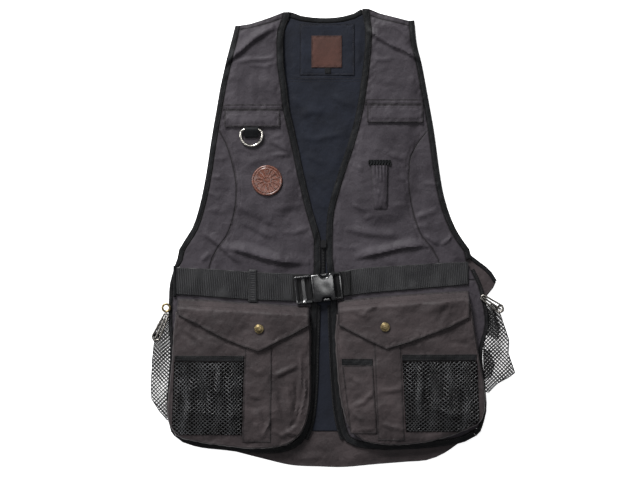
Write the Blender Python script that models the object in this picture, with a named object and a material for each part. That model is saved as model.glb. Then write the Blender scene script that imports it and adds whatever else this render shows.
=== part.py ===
"""A dog training vest that lies flat on its back, front zip and belt buckle closed.

Meshes are in metres, named sizes in millimetres. X runs across the vest, Y from the hem
up to the neck, Z up from the surface that the back panel lies on. One half of the vest is
drawn with x counted outwards from the front opening, and then set on its own side.
"""
import math
from collections import namedtuple

import bmesh
import bpy
import numpy as np
from mathutils import Vector
from mathutils.geometry import delaunay_2d_cdt

MM = 0.001

# Walls and the gap that parts two pieces
GAP = 0.3
SHELL = 1.5
LINING = 1.0
WEBBING = 1.8
BINDING = 2.0
LEATHER = 3.0
TRIM = 1.2

# Levels of the layers, from the surface that the vest lies on
LINING_LOW = SHELL + GAP
FRONT_LOW = LINING_LOW + LINING + GAP
FRONT_TOP = FRONT_LOW + SHELL
BELT_LOW = FRONT_LOW + BINDING + GAP
BELT_TOP = BELT_LOW + WEBBING

# Drawing of the maps that the cloth pieces are cut from
CURVE_STEP = 13.0
MAP_PITCH = 17.0
POCKET_PITCH = 22.0
NET_PITCH = 11.0
BELT_STEP = 30.0
FLAP_STEP = 24.0

# Widths
ARM_BINDING = 9.0
RIM_BINDING = 10.5
SIDE_BINDING = 6.0
CORNER_WIDTH = 6.0
NECK_BINDING = 8.0
ZIP_CHAIN = 6.4
ZIP_TAPE = 5.0
TAPE_TOP, TAPE_LOW = -104.0, -318.0
ZIP_TOP = -6.0

# Zip slider: y of its foot and top, half its width, and its height
SLIDER = (-12.0, 0.0, 4.5, 2.6)

SIDES = ("left", "right")
SIGN = {"left": -1.0, "right": 1.0}

# Ends of each shoulder, x outwards from the front opening
ARM_TIP = {"left": (142, 343), "right": (145, 352)}
NECK_TIP = {"left": (63, 360), "right": (65, 366)}
SHOULDER_DROP = 9.0

Chest = namedtuple("Chest", "y left_rim left_arm right_rim right_arm")
CHEST = (
    Chest(312, 65, 150, 65.5, 149),
    Chest(280, 64, 158, 62.5, 157),
    Chest(245, 59, 166, 58, 163.5),
    Chest(210, 55, 172, 52.5, 170),
    Chest(176, 47, 178, 44.5, 176),
    Chest(144, 40, 183, 35, 180.5),
    Chest(110, 33, 188, 23.5, 185),
    Chest(80, 26, 193.5, 14.5, 190),
    Chest(50, 19, 200.5, 6.5, 198),
    Chest(20, 10, 210.5, 3.5, 210),
    Chest(0, 5, 223, 3, 222),
    Chest(-15, 5, 232, 3, 233),
    Chest(-30, 5, 235, 3, 236),
)

Waist = namedtuple("Waist", "y left_rim left_side right_rim right_side")
WAIST = (
    Waist(-45, 5, 240, 5, 240),
    Waist(-70, 8, 247, 7.5, 252),
    Waist(-96, 10, 248.5, 10, 259),
    Waist(-136, 11.5, 249, 11.5, 264),
    Waist(-176, 13, 246, 13, 254),
    Waist(-232, 14.5, 250, 16, 258),
    Waist(-275, 18, 252, 20, 260),
    Waist(-304, 24, 246, 26, 252),
)


# Ends of the binding down each side
SIDE_TOP = WAIST[0].y - 0.5
SIDE_LOW = WAIST[-1].y + 4.0

Hem = namedtuple("Hem", "left_x left_y right_x right_y")
HEM = (
    Hem(36, -326, 35, -323),
    Hem(58, -338, 51, -331),
    Hem(90, -342, 80, -335),
    Hem(123, -341, 133, -335),
    Hem(155, -337, 184, -331),
    Hem(208, -330, 206, -328),
    Hem(226, -324, 226, -323),
    Hem(239, -314, 243, -314),
)

# Seam between front and side panel, from the armhole down to the belt
Princess = namedtuple("Princess", "y left_x right_x")
PRINCESS = (
    Princess(155, 157, 150.5),
    Princess(131, 149, 138.5),
    Princess(107, 143, 136),
    Princess(82, 140, 136.5),
    Princess(53, 142, 141),
    Princess(27, 148, 148),
    Princess(5, 157, 157.5),
    Princess(-12, 170, 172.5),
    Princess(-29, 179, 182),
    Princess(-64, 187, 190),
)
PRINCESS_START = 176

# Swells and folds of the fronts, on vest X and Y: a line, half width, flat part and height
Fold = namedtuple("Fold", "x0 y0 x1 y1 half flat height")
SWELLS = (
    Fold(-106, 300, -98, 80, 62, 34, 4.0),
    Fold(104, 304, 92, 80, 62, 34, 4.0),
)
FOLDS = (
    Fold(-158, 6, -116, -16, 13, 0, 6.0),
    Fold(-130, -22, -34, -32, 10, 0, 6.5),
    Fold(-112, 24, -44, -6, 15, 0, 4.0),
    Fold(-198, 2, -168, -26, 13, 0, 3.5),
    Fold(44, -28, 100, -20, 9, 0, 5.5),
    Fold(100, -20, 168, -16, 11, 0, 5.0),
    Fold(46, 2, 148, 14, 14, 0, 3.0),
    Fold(184, -8, 212, -22, 12, 0, 3.5),
    Fold(-128, 288, -86, 330, 13, 0, 3.5),
    Fold(84, 320, 134, 292, 13, 0, 4.0),
    Fold(-82, 152, -60, 138, 9, 0, 2.5),
    Fold(68, 150, 112, 166, 11, 0, 2.0),
)
FOLDS_END = -42.0
FOLDS_FADE = 12.0

# Back panel, x of its edges on the vest's own axis
BACK_INSET = 4.0
BACK_SHOULDER = 12.0
COLLAR_INSET = 1.0
Back = namedtuple("Back", "y left right")
BACK = (
    Back(-16, -227, 219),
    Back(-34, -231, 233),
    Back(-49, -233, 252),
    Back(-66, -235, 267),
    Back(-88, -237, 262),
    Back(-104, -237, 256),
    Back(-160, -239, 253),
    Back(-256, -243, 255),
    Back(-292, -240, 250),
)
BACK_HEM = (
    (-224, -316), (-198, -326), (-154, -336), (-99, -350), (-50, -361), (-6, -363), (22, -364),
    (86, -359), (138, -355), (164, -353), (194, -341), (214, -327), (236, -314),
)
NECKLINE = ((-61.6, 360), (-40, 359), (-18, 356.5), (6, 355.5), (30, 358), (48, 362), (63.2, 365.6))
CORNER_BINDING = ((221, -5), (236, -25), (248, -34), (260, -43), (269, -52), (277, -65))

# Lining between the fronts: x of its edges on the vest's own axis
Inside = namedtuple("Inside", "y left right")
INSIDE = (
    Inside(300, -86, 86),
    Inside(208, -77, 78),
    Inside(128, -61, 56),
    Inside(56, -45, 36),
    Inside(0, -27, 26),
    Inside(-96, -31, 30),
    Inside(-176, -33, 33),
    Inside(-256, -36, 38),
    Inside(-306, -42, 43),
)
PATCH_BOX = (-39, 48.5, 264, 346)
LABEL_BOX = (-20, 28.5, 276, 327)
SIZE_TAB_BOX = (1.5, 11, 266.5, 274)

# Belt: y of its top and bottom edge at each station, on the vest's own axis
Belt = namedtuple("Belt", "x top low")
BELT = {
    "left": (Belt(-237, -44, -87), Belt(-190, -46, -90), Belt(-118, -51, -95.5),
             Belt(-50, -54, -98), Belt(-20, -55, -99)),
    "right": (Belt(231, -35, -71), Belt(186, -37, -75), Belt(122, -41, -80.5),
              Belt(46, -47, -88), Belt(14, -53, -94)),
}
KEEPER = (-121, -107)
KEEPER_REACH = 2.6
FOLD_BACK = (31, 46)
FOLD_INSET = 1.0

# Buckle, in its own axes before it is turned
BUCKLE_CENTRE = (-8.5, -76.8)
BUCKLE_TURN = math.radians(6.7)
BUCKLE_HEIGHT = 45.0
BUCKLE_LOW = BELT_TOP + GAP
LADDER = (-38.0, -11.0)
LADDER_SLOTS = ((-33.5, -26.5), (-21.5, -14.0))
LADDER_THICK = 5.0
CATCH = (-10.7, 37.5)
CATCH_SLOT = (28.0, 34.0)
CATCH_THICK = 9.5
SLOT_MARGIN = 4.6
NOTCH = (3.0, 19.0, 6.5)

# Chest pieces, x outwards: a strip over the flap, and the flap with round corners
ChestFlap = namedtuple("ChestFlap", "strip_low strip_high flap_in flap_out flap_low flap_high")
CHEST_FLAP = {
    "left": ChestFlap(208.4, 216.8, 71, 159, 181, 208),
    "right": ChestFlap(217, 225, 69, 158, 188, 216.6),
}
CHEST_FLAP_LIFT = 3.7
LIFT_REACH = 0.8
STRIP_INSET = 1.0
CORNER = 7.0

# Ring on the left chest: its bar lies in a webbing loop, its bow points to the hem
RING_X = -116.0
RING_BAR_Y = 176.5
RING_BOW_Y = 167.5
RING_RADIUS = 17.2
RING_WIRE = 2.0
RING_CORNER = 3.5
BOW_STEPS = 26
BAR_STEPS = 3
LOOP_HALF = 11.0
LOOP_WALL = 1.2
LOOP_FOLD_Y = 163.5
LOOP_TOP_Y = 185.0

BADGE = (91.0, 95.0, 24.5)

# Whistle pocket on the right chest: a half round tube under a gathered top
WHISTLE_TOP = (71.0, 107.0, 119.5, 128.0)
WHISTLE_BODY = ((75.0, 102.0, 119.0), (79.5, 101.0, 50.0))
WHISTLE_RISE = 8.0
WHISTLE_FLATTEN = 0.7

# Pockets, x outwards: edges of the face at each height
Pocket = namedtuple("Pocket", "y left_in left_out right_in right_out")
POCKET = (
    Pocket(-144, 23, 238, 20, 239),
    Pocket(-192, 22.5, 241, 22, 247),
    Pocket(-240, 22.5, 246, 26, 255),
    Pocket(-272, 25, 248.5, 32, 255),
    Pocket(-294, 31, 246, 39, 244),
)
PocketBase = namedtuple("PocketBase", "left_x left_y right_x right_y")
POCKET_BASE = (
    PocketBase(42, -313, 48, -307),
    PocketBase(60, -325, 62, -318),
    PocketBase(92, -331, 92, -325),
    PocketBase(160, -327, 150, -323),
    PocketBase(205, -320, 214, -307),
    PocketBase(236, -310, 236, -297),
)
GUSSET_HEIGHT = 11.0
POCKET_CROWN = 5.0
CROWN_REACH = 60.0
FACE_LOW = BELT_LOW + GUSSET_HEIGHT + GAP

# Pocket flaps, x outwards: y of the top and the lower edge
PocketFlap = namedtuple("PocketFlap", "x top low")
POCKET_FLAP = {
    "left": (PocketFlap(24.5, -106, -136), PocketFlap(50, -105, -150), PocketFlap(77, -103, -163),
             PocketFlap(104, -101, -177), PocketFlap(134, -100, -167), PocketFlap(170, -97, -151),
             PocketFlap(202, -95, -134), PocketFlap(233.5, -94, -118)),
    "right": (PocketFlap(22.5, -98, -135), PocketFlap(48, -95, -148), PocketFlap(74, -92, -161),
              PocketFlap(99, -90, -173), PocketFlap(133, -87, -163), PocketFlap(166, -85, -151),
              PocketFlap(200, -83, -138), PocketFlap(231, -81, -123)),
}
FLAP_RISE = 16.0
MOUTH_DROP = 21.0
FLAP_LEVEL = SHELL + GAP + TRIM + GAP
SNAP = {"left": (103, -141), "right": (97, -138)}
SNAP_RADIUS = 7.5
SNAP_HEIGHT = 3.2

# Pieces on a pocket's face, x outwards: corner columns (x at top, x at foot) and rows
FacePiece = namedtuple("FacePiece", "name side in_top in_low out_top out_low y_top y_low")
FACE_PIECES = (
    FacePiece("placket_left", "left", 83, 85, 125, 130, -156, -322),
    FacePiece("placket_right", "right", 79, 86, 121, 128, -156, -319),
    FacePiece("mesh_band_left", "left", 127, 127, 238, 238, -184, -193),
    FacePiece("mesh_band_right", "right", 124, 124, 243, 243, -182, -192),
    FacePiece("mesh_panel_left", "left", 127, 131, 239, 243, -193.6, -310),
    FacePiece("mesh_panel_right", "right", 124.3, 130, 244, 248, -192.6, -305),
    FacePiece("small_pocket_band", "right", 28, 28, 77, 77.5, -189, -199),
    FacePiece("small_pocket", "right", 28.6, 42, 77.5, 84.5, -199.6, -308),
)

# Net bags that hang from the sides, on the vest's own axes
BAG = {
    "left": ((-245, -128), (-261, -125), (-269, -138), (-272, -152), (-276, -192), (-278, -235),
             (-277, -255), (-264, -275), (-250, -290), (-246, -270), (-243.6, -200), (-241, -150)),
    "right": ((262, -103), (272, -102), (283, -118), (291, -141), (297, -160), (296, -181),
              (307, -213), (299, -219), (276, -232), (263, -245), (257, -243), (255, -192),
              (256, -130)),
}
BAG_EDGE = 2.5
BAG_SWELL = 5.0
BAG_START = 10.0
BAG_REACH = 18.0

# Snap hooks: ends of the loop on the vest's own axes, and their level
Hook = namedtuple("Hook", "x0 y0 x1 y1 low")
HOOK = {
    "left": Hook(-253, -121.5, -268, -154, 5.4),
    "right": Hook(255, -92, 280, -109, 5.8),
}
HOOK_HALF = 6.0
HOOK_WIRE = 1.5
HOOK_NECK = 0.6
SIDE_RING = (-252.5, -108.5, 7.0, 1.1)

# Colour, roughness and metallic value of each material
FINISH = {
    "shell cloth": ((0.068, 0.060, 0.062), 0.75, 0.0),
    "pocket cloth": ((0.052, 0.044, 0.044), 0.78, 0.0),
    "lining cloth": ((0.022, 0.025, 0.036), 0.70, 0.0),
    "binding": ((0.020, 0.021, 0.023), 0.70, 0.0),
    "webbing": ((0.032, 0.033, 0.035), 0.60, 0.0),
    "black net": ((0.010, 0.010, 0.011), 0.60, 0.0),
    "woven label": ((0.075, 0.035, 0.028), 0.80, 0.0),
    "badge leather": ((0.135, 0.045, 0.025), 0.45, 0.0),
    "black acetal": ((0.018, 0.018, 0.019), 0.32, 0.0),
    "nickel": ((0.62, 0.60, 0.57), 0.25, 1.0),
    "antique brass": ((0.42, 0.32, 0.18), 0.38, 1.0),
    "zip": ((0.014, 0.014, 0.016), 0.45, 0.0),
}


def clear_scene():
    """Remove what a new Blender file holds."""
    for item in list(bpy.data.objects):
        bpy.data.objects.remove(item, do_unlink=True)


def material(name):
    """One Principled material for each finish, made once."""
    found = bpy.data.materials.get(name)
    if found:
        return found
    made = bpy.data.materials.new(name)
    made.use_nodes = True
    shader = made.node_tree.nodes["Principled BSDF"]
    colour, roughness, metallic = FINISH[name]
    shader.inputs["Base Color"].default_value = (*colour, 1.0)
    shader.inputs["Roughness"].default_value = roughness
    shader.inputs["Metallic"].default_value = metallic
    return made


def smooth_step(value):
    """Ease from 0 to 1."""
    value = min(max(value, 0.0), 1.0)
    return value * value * (3.0 - 2.0 * value)


# Lines and outlines


def smooth_line(points, step=CURVE_STEP):
    """A smooth line through the points, one vertex about every step."""
    knots = np.array(points, float)
    chords = np.hypot(*np.diff(knots, axis=0).T)
    at = np.concatenate(([0.0], np.cumsum(chords)))
    slopes = np.gradient(knots, at, axis=0)
    line = [tuple(knots[0])]
    for i, chord in enumerate(chords):
        count = max(1, round(chord / step))
        for k in range(1, count + 1):
            t = k / count
            line.append(tuple(
                (2 * t**3 - 3 * t**2 + 1) * knots[i] + (t**3 - 2 * t**2 + t) * chord * slopes[i]
                + (3 * t**2 - 2 * t**3) * knots[i + 1] + (t**3 - t**2) * chord * slopes[i + 1]))
    return line


def offset(line, distance, closed=False):
    """The line moved to its left by distance, with mitred corners."""
    points = np.array(line, float)
    before = np.roll(points, 1, axis=0)
    after = np.roll(points, -1, axis=0)
    if not closed:
        before[0] = 2 * points[0] - points[1]
        after[-1] = 2 * points[-1] - points[-2]
    first = points - before
    second = after - points
    first /= np.linalg.norm(first, axis=1)[:, None]
    second /= np.linalg.norm(second, axis=1)[:, None]
    mid = first + second
    mid /= np.linalg.norm(mid, axis=1)[:, None]
    stretch = np.clip((mid * second).sum(axis=1), 0.4, 1.0)
    normal = np.stack((-mid[:, 1], mid[:, 0]), axis=1)
    return [tuple(p) for p in points + normal * (distance / stretch)[:, None]]


def area(outline):
    """Signed area of an outline, positive when it runs anticlockwise."""
    x, y = np.array(outline, float).T
    return 0.5 * float(np.sum(x * np.roll(y, -1) - np.roll(x, -1) * y))


def shrink(outline, distance=GAP / 2):
    """The outline drawn inwards, which leaves a seam's gap to its neighbours."""
    return offset(outline, distance if area(outline) > 0 else -distance, closed=True)


def at_height(line, y):
    """x of a line where it crosses y."""
    for (x0, y0), (x1, y1) in zip(line, line[1:]):
        if min(y0, y1) <= y <= max(y0, y1) and y0 != y1:
            return x0 + (x1 - x0) * (y - y0) / (y1 - y0)
    raise ValueError("the line does not reach this height")


def between(line, high, low):
    """The part of a line that falls from the height high to the height low."""
    end = next(i for i, p in enumerate(line) if p[1] <= low)
    inner = [p for p in line[:end] if p[1] < high]
    return [(at_height(line, high), high)] + inner + [(at_height(line, low), low)]


def box_outline(x_low, x_high, y_low, y_high, corner=0.0, top_corner=0.0):
    """A rectangle, anticlockwise, with round lower or upper corners."""
    outline = []
    places = ((x_high, y_low, -90, corner), (x_high, y_high, 0, top_corner),
              (x_low, y_high, 90, top_corner), (x_low, y_low, 180, corner))
    for x, y, start, radius in places:
        if not radius:
            outline.append((x, y))
            continue
        cx = x - radius if x == x_high else x + radius
        cy = y - radius if y == y_high else y + radius
        for k in range(4):
            turn = math.radians(start + 30 * k)
            outline.append((cx + radius * math.cos(turn), cy + radius * math.sin(turn)))
    return outline


def divide(outline, pitch):
    """The outline with its long edges divided, so that they can follow the cloth."""
    divided = []
    for (x0, y0), (x1, y1) in zip(outline, outline[1:] + outline[:1]):
        count = max(1, round(math.hypot(x1 - x0, y1 - y0) / pitch))
        divided += [(x0 + (x1 - x0) * k / count, y0 + (y1 - y0) * k / count) for k in range(count)]
    return divided


def circle_outline(x, y, radius, count=28):
    """A round outline, anticlockwise."""
    turns = [2 * math.pi * k / count for k in range(count)]
    return [(x + radius * math.cos(t), y + radius * math.sin(t)) for t in turns]


def inside(outline, x, y):
    """Whether each point (x, y) lies in the outline."""
    hits = np.zeros(len(x), bool)
    for (x0, y0), (x1, y1) in zip(outline, outline[1:] + outline[:1]):
        if y0 == y1:
            continue
        crossing = (y0 > y) != (y1 > y)
        hits ^= crossing & (x < (x1 - x0) * (y - y0) / (y1 - y0) + x0)
    return hits


def distance_to(line, x, y):
    """Shortest distance from each point to an open line."""
    best = np.full(np.shape(x), 1e9)
    for (x0, y0), (x1, y1) in zip(line, line[1:]):
        length = (x1 - x0)**2 + (y1 - y0)**2
        if length < 1e-9:
            continue
        t = np.clip(((x - x0) * (x1 - x0) + (y - y0) * (y1 - y0)) / length, 0, 1)
        best = np.minimum(best, np.hypot(x - x0 - t * (x1 - x0), y - y0 - t * (y1 - y0)))
    return best


# Cloth map: flat triangles that every piece of one area is cut from


class ClothMap:
    """Triangles whose edges follow the outlines, so stacked pieces share their points."""

    def __init__(self, outlines, pitch, guides=(), foot=-1e9):
        points, edges = [], []
        for outline in [divide(list(outline), pitch) for outline in outlines]:
            first = len(points)
            count = len(outline)
            points += outline
            edges += [(first + i, first + (i + 1) % count) for i in range(count)]
        free = [p for p in self.lattice(points, pitch) if p[1] > foot] + list(guides)
        x, y = np.array(free, float).T
        room = np.full(len(free), 1e9)
        for outline in outlines:
            room = np.minimum(room, distance_to(outline + outline[:1], x, y))
        points += [p for p, far in zip(free, room) if far > 0.3 * pitch]
        flat, _, faces, *_ = delaunay_2d_cdt([Vector(p) for p in points], edges, [], 0, 1e-4)
        self.x, self.y = np.array(flat, float).T
        self.faces = np.array([tuple(face) for face in faces])
        self.mid_x = self.x[self.faces].mean(axis=1)
        self.mid_y = self.y[self.faces].mean(axis=1)

    @staticmethod
    def lattice(points, pitch):
        """Points in staggered rows over the area."""
        x, y = np.array(points, float).T
        rows = np.arange(y.min(), y.max(), pitch * 0.866)
        return [(float(at) + (pitch / 2 if k % 2 else 0.0), float(row))
                for k, row in enumerate(rows) for at in np.arange(x.min(), x.max(), pitch)]

    def cut(self, name, finish, outline, low, high, sign=1.0):
        """One solid over the outline, between the heights low(x, y) and high(x, y)."""
        chosen = self.faces[inside(list(outline), self.mid_x, self.mid_y)]
        return stack_solid(name, finish, self.x, self.y, chosen, low, high, sign)


def stack_solid(name, finish, x, y, faces, low, high, sign=1.0):
    """A closed solid from flat triangles, its top and underside at two heights."""
    used = sorted({int(i) for face in faces for i in face})
    index = {old: new for new, old in enumerate(used)}
    places = [(float(x[i]) * sign, float(y[i])) for i in used]
    count = len(used)
    under = [(px * MM, py * MM, low(px, py) * MM) for px, py in places]
    over = [(px * MM, py * MM, high(px, py) * MM) for px, py in places]
    polygons, rim = [], {}
    for face in faces:
        a, b, c = (index[int(i)] for i in face)
        polygons += [(a + count, b + count, c + count), (c, b, a)]
        for start, end in ((a, b), (b, c), (c, a)):
            rim[(start, end)] = True
    for start, end in rim:
        if (end, start) not in rim:
            polygons.append((start, end, end + count, start + count))
    if sign < 0:
        polygons = [tuple(reversed(p)) for p in polygons]
    return new_object(name, finish, under + over, polygons)


def new_object(name, finish, points, polygons, smooth=False):
    """A named object with its mesh and its material."""
    mesh = bpy.data.meshes.new(name)
    mesh.from_pydata(points, [], polygons)
    mesh.materials.append(material(finish))
    if smooth:
        mesh.shade_smooth()
        mesh.set_sharp_from_angle(angle=math.radians(40))
    made = bpy.data.objects.new(name, mesh)
    bpy.context.scene.collection.objects.link(made)
    return made


def level(height):
    """A flat height, the same everywhere."""
    return lambda x, y: height


def raised(height, rise):
    """Another height, moved out by rise."""
    return lambda x, y: height(x, y) + rise


def plate(name, finish, outline, low, high, holes=(), bevel=0.0):
    """A flat solid with holes and, where asked, rounded edges."""
    flat = ClothMap([list(outline)] + [list(h) for h in holes], 1e4)
    chosen = inside(list(outline), flat.mid_x, flat.mid_y)
    for hole in holes:
        chosen &= ~inside(list(hole), flat.mid_x, flat.mid_y)
    made = stack_solid(name, finish, flat.x, flat.y, flat.faces[chosen], level(low), level(high))
    if bevel:
        shape = bmesh.new()
        shape.from_mesh(made.data)
        bmesh.ops.dissolve_limit(shape, angle_limit=0.01, verts=shape.verts, edges=shape.edges)
        shape.to_mesh(made.data)
        shape.free()
        rounding = made.modifiers.new("Rounded edges", "BEVEL")
        rounding.width = bevel * MM
        rounding.segments = 2
        rounding.limit_method = "ANGLE"
        rounding.angle_limit = math.radians(40)
    return made


def wire_loop(name, finish, path, radius, sides=8):
    """Round wire along a closed path of (x, y, z) points."""
    centre = np.array(path, float)
    ahead = np.roll(centre, -1, axis=0) - np.roll(centre, 1, axis=0)
    ahead /= np.linalg.norm(ahead, axis=1)[:, None]
    normal = np.cross(centre[1] - centre[0], centre[len(path) // 2] - centre[0])
    normal /= np.linalg.norm(normal)
    across = np.cross(ahead, normal)
    points, polygons = [], []
    for i, place in enumerate(centre):
        for k in range(sides):
            turn = 2 * math.pi * (k + 0.5) / sides
            out = across[i] * math.cos(turn) + normal * math.sin(turn)
            points.append(tuple((place + radius * out) * MM))
    for i in range(len(path)):
        j = (i + 1) % len(path)
        for k in range(sides):
            m = (k + 1) % sides
            polygons.append((i * sides + k, i * sides + m, j * sides + m, j * sides + k))
    made = new_object(name, finish, points, polygons, smooth=True)
    shape = bmesh.new()
    shape.from_mesh(made.data)
    bmesh.ops.recalc_face_normals(shape, faces=shape.faces)
    shape.to_mesh(made.data)
    shape.free()
    return made


def profile_bar(name, finish, profile, x_low, x_high):
    """A closed (y, z) profile run straight along X."""
    if area(profile) < 0:
        profile = profile[::-1]
    count = len(profile)
    points = [(x_low * MM, y * MM, z * MM) for y, z in profile]
    points += [(x_high * MM, y * MM, z * MM) for y, z in profile]
    walls = [(i, (i + 1) % count, (i + 1) % count + count, i + count) for i in range(count)]
    walls = [tuple(reversed(w)) for w in walls]
    ends = [tuple(range(count)), tuple(reversed(range(count, 2 * count)))]
    made = new_object(name, finish, points, walls + ends)
    shape = bmesh.new()
    shape.from_mesh(made.data)
    bmesh.ops.triangulate(shape, faces=[f for f in shape.faces if len(f.verts) > 4])
    bmesh.ops.recalc_face_normals(shape, faces=shape.faces)
    shape.to_mesh(made.data)
    shape.free()
    return made


# Height of the fronts over the layers below


def ridge(fold, x, y):
    """Height of one swell or fold at a place."""
    away = float(distance_to(((fold.x0, fold.y0), (fold.x1, fold.y1)), np.float64(x), np.float64(y)))
    if away <= fold.flat:
        return fold.height
    return fold.height * smooth_step((fold.half - away) / (fold.half - fold.flat))


def front_low(x, y):
    """Underside of the fronts: swells and folds that die out above the belt."""
    swell = sum(ridge(fold, x, y) for fold in SWELLS + FOLDS)
    return FRONT_LOW + swell * smooth_step((y - FOLDS_END) / FOLDS_FADE)


front_top = raised(front_low, SHELL)
front_cover = raised(front_low, SHELL + GAP)


def fold_guides(sign):
    """Map points along each fold's crest, flanks and foot, x outwards."""
    guides = []
    for fold in FOLDS:
        if fold.x0 * sign < 0:
            continue
        crest = smooth_line(((fold.x0 * sign, fold.y0), (fold.x1 * sign, fold.y1)), 14.0)
        for share in (-1.0, -0.5, 0.0, 0.5, 1.0):
            guides += offset(crest, share * fold.half)
    return guides


# Front halves


class Half:
    """Lines of one front half, x outwards, each drawn from the neck to the hem."""

    def __init__(self, side):
        self.side = side
        self.sign = SIGN[side]
        rims = [(getattr(row, side + "_rim"), row.y) for row in CHEST + WAIST]
        base = [(getattr(row, side + "_x"), getattr(row, side + "_y")) for row in HEM]
        arms = [(getattr(row, side + "_arm"), row.y) for row in CHEST]
        sides = [(getattr(row, side + "_side"), row.y) for row in WAIST]
        self.rim = smooth_line([NECK_TIP[side]] + rims + base)
        self.arm = smooth_line([ARM_TIP[side]] + arms)
        self.edge = smooth_line(sides)
        self.rim_in = offset(self.rim, RIM_BINDING)
        self.arm_in = offset(self.arm, -ARM_BINDING)
        self.edge_in = offset(self.edge, -SIDE_BINDING)
        self.seam = self.princess()
        self.shoulder = self.shoulder_line()

    def princess(self):
        """Seam between the side panel and the front."""
        rows = [(getattr(row, self.side + "_x"), row.y) for row in PRINCESS]
        start = (at_height(self.arm_in, PRINCESS_START), PRINCESS_START)
        return smooth_line([start] + rows)

    def shoulder_line(self):
        """Seam below the shoulder, from the armhole binding to the neck binding."""
        low, high = (tip[self.side][1] - SHOULDER_DROP for tip in (ARM_TIP, NECK_TIP))
        return [(at_height(self.arm_in, low), low), (at_height(self.rim_in, high), high)]

    def shoulder_outline(self):
        """The strip that folds over the shoulder."""
        return shrink([self.arm_in[0], self.rim_in[0]] + self.shoulder[::-1])

    def front_outline(self):
        """The front panel, with all that lies under belt and pocket."""
        waist = PRINCESS[-1].y
        arm = [p for p in self.arm_in if PRINCESS_START < p[1] < self.shoulder[0][1]]
        rim = [p for p in self.rim_in if p[1] < self.shoulder[1][1]]
        edge = between(self.edge_in, waist, SIDE_LOW)
        return shrink(self.shoulder + rim + edge[::-1] + self.seam[::-1] + arm[::-1])

    def side_outline(self):
        """The side panel, from the armhole down to the belt."""
        waist = PRINCESS[-1].y
        arm = [p for p in self.arm_in if p[1] < PRINCESS_START]
        edge = [p for p in self.edge_in if p[1] > waist] + [(at_height(self.edge_in, waist), waist)]
        return shrink(self.seam + edge[::-1] + arm[::-1])

    def edge_binding(self):
        """Binding down the side, beside the belt and the pocket."""
        line = between(self.edge, SIDE_TOP, SIDE_LOW)
        return shrink(line + offset(line, -SIDE_BINDING)[::-1])

    def arm_binding(self):
        """Binding round the armhole."""
        return shrink(self.arm + self.arm_in[::-1])

    def rim_binding(self):
        """Binding down the neck edge, the zip and round the hem."""
        return shrink(self.rim + self.rim_in[::-1])

    def tape(self):
        """Zip tape below the buckle, with its half of the teeth."""
        line = between(self.rim, TAPE_TOP, TAPE_LOW)
        return shrink(line + offset(line, -ZIP_TAPE)[::-1])

    def strip_outline(self):
        """Stitched strip over the chest flap, from binding to binding."""
        flap = CHEST_FLAP[self.side]
        rows = (flap.strip_low, flap.strip_high)
        near = [(at_height(self.rim_in, y) + STRIP_INSET, y) for y in rows]
        far = [(at_height(self.arm_in, y) - STRIP_INSET, y) for y in rows]
        return [near[0], far[0], far[1], near[1]]


def flap_lift(side):
    """Chest flap: flat on the front along its top, lifted along its free edge."""
    flap = CHEST_FLAP[side]

    def height(x, y):
        free = (flap.flap_high - y) / (flap.flap_high - flap.flap_low)
        return front_cover(x, y) + CHEST_FLAP_LIFT * smooth_step(free / LIFT_REACH)
    return height


def build_half(side):
    """Front, side, shoulder and bindings of one half, and what is sewn on its chest."""
    half = Half(side)
    flap = CHEST_FLAP[side]
    flap_outline = box_outline(flap.flap_in, flap.flap_out, flap.flap_low, flap.flap_high, CORNER)
    outlines = {
        "front": half.front_outline(), "side_panel": half.side_outline(),
        "shoulder": half.shoulder_outline(), "arm_binding": half.arm_binding(),
        "front_binding": half.rim_binding(), "side_binding": half.edge_binding(),
        "zip_tape": half.tape(),
        "chest_strip": half.strip_outline(), "chest_flap": flap_outline,
    }
    if side == "left":
        outlines["badge"] = circle_outline(*BADGE)
    cloth = ClothMap(list(outlines.values()), MAP_PITCH, fold_guides(half.sign), FOLDS_END)

    def cut(part, finish, low, high):
        name = part if part == "badge" else part + "_" + side
        cloth.cut(name, finish, outlines[part], low, high, half.sign)

    cut("front", "shell cloth", front_low, front_top)
    cut("side_panel", "shell cloth", front_low, front_top)
    cut("shoulder", "shell cloth", level(SHELL + GAP), front_top)
    cut("arm_binding", "binding", front_low, raised(front_low, BINDING))
    cut("front_binding", "binding", front_low, raised(front_low, BINDING))
    cut("side_binding", "binding", front_low, raised(front_low, BINDING))
    cut("zip_tape", "zip", front_low, raised(front_low, TRIM))
    cut("chest_strip", "shell cloth", front_cover, raised(front_cover, TRIM))
    lifted = flap_lift(side)
    cut("chest_flap", "shell cloth", lifted, raised(lifted, SHELL))
    if side == "left":
        cut("badge", "badge leather", front_cover, raised(front_cover, LEATHER))


# Back and lining


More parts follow.
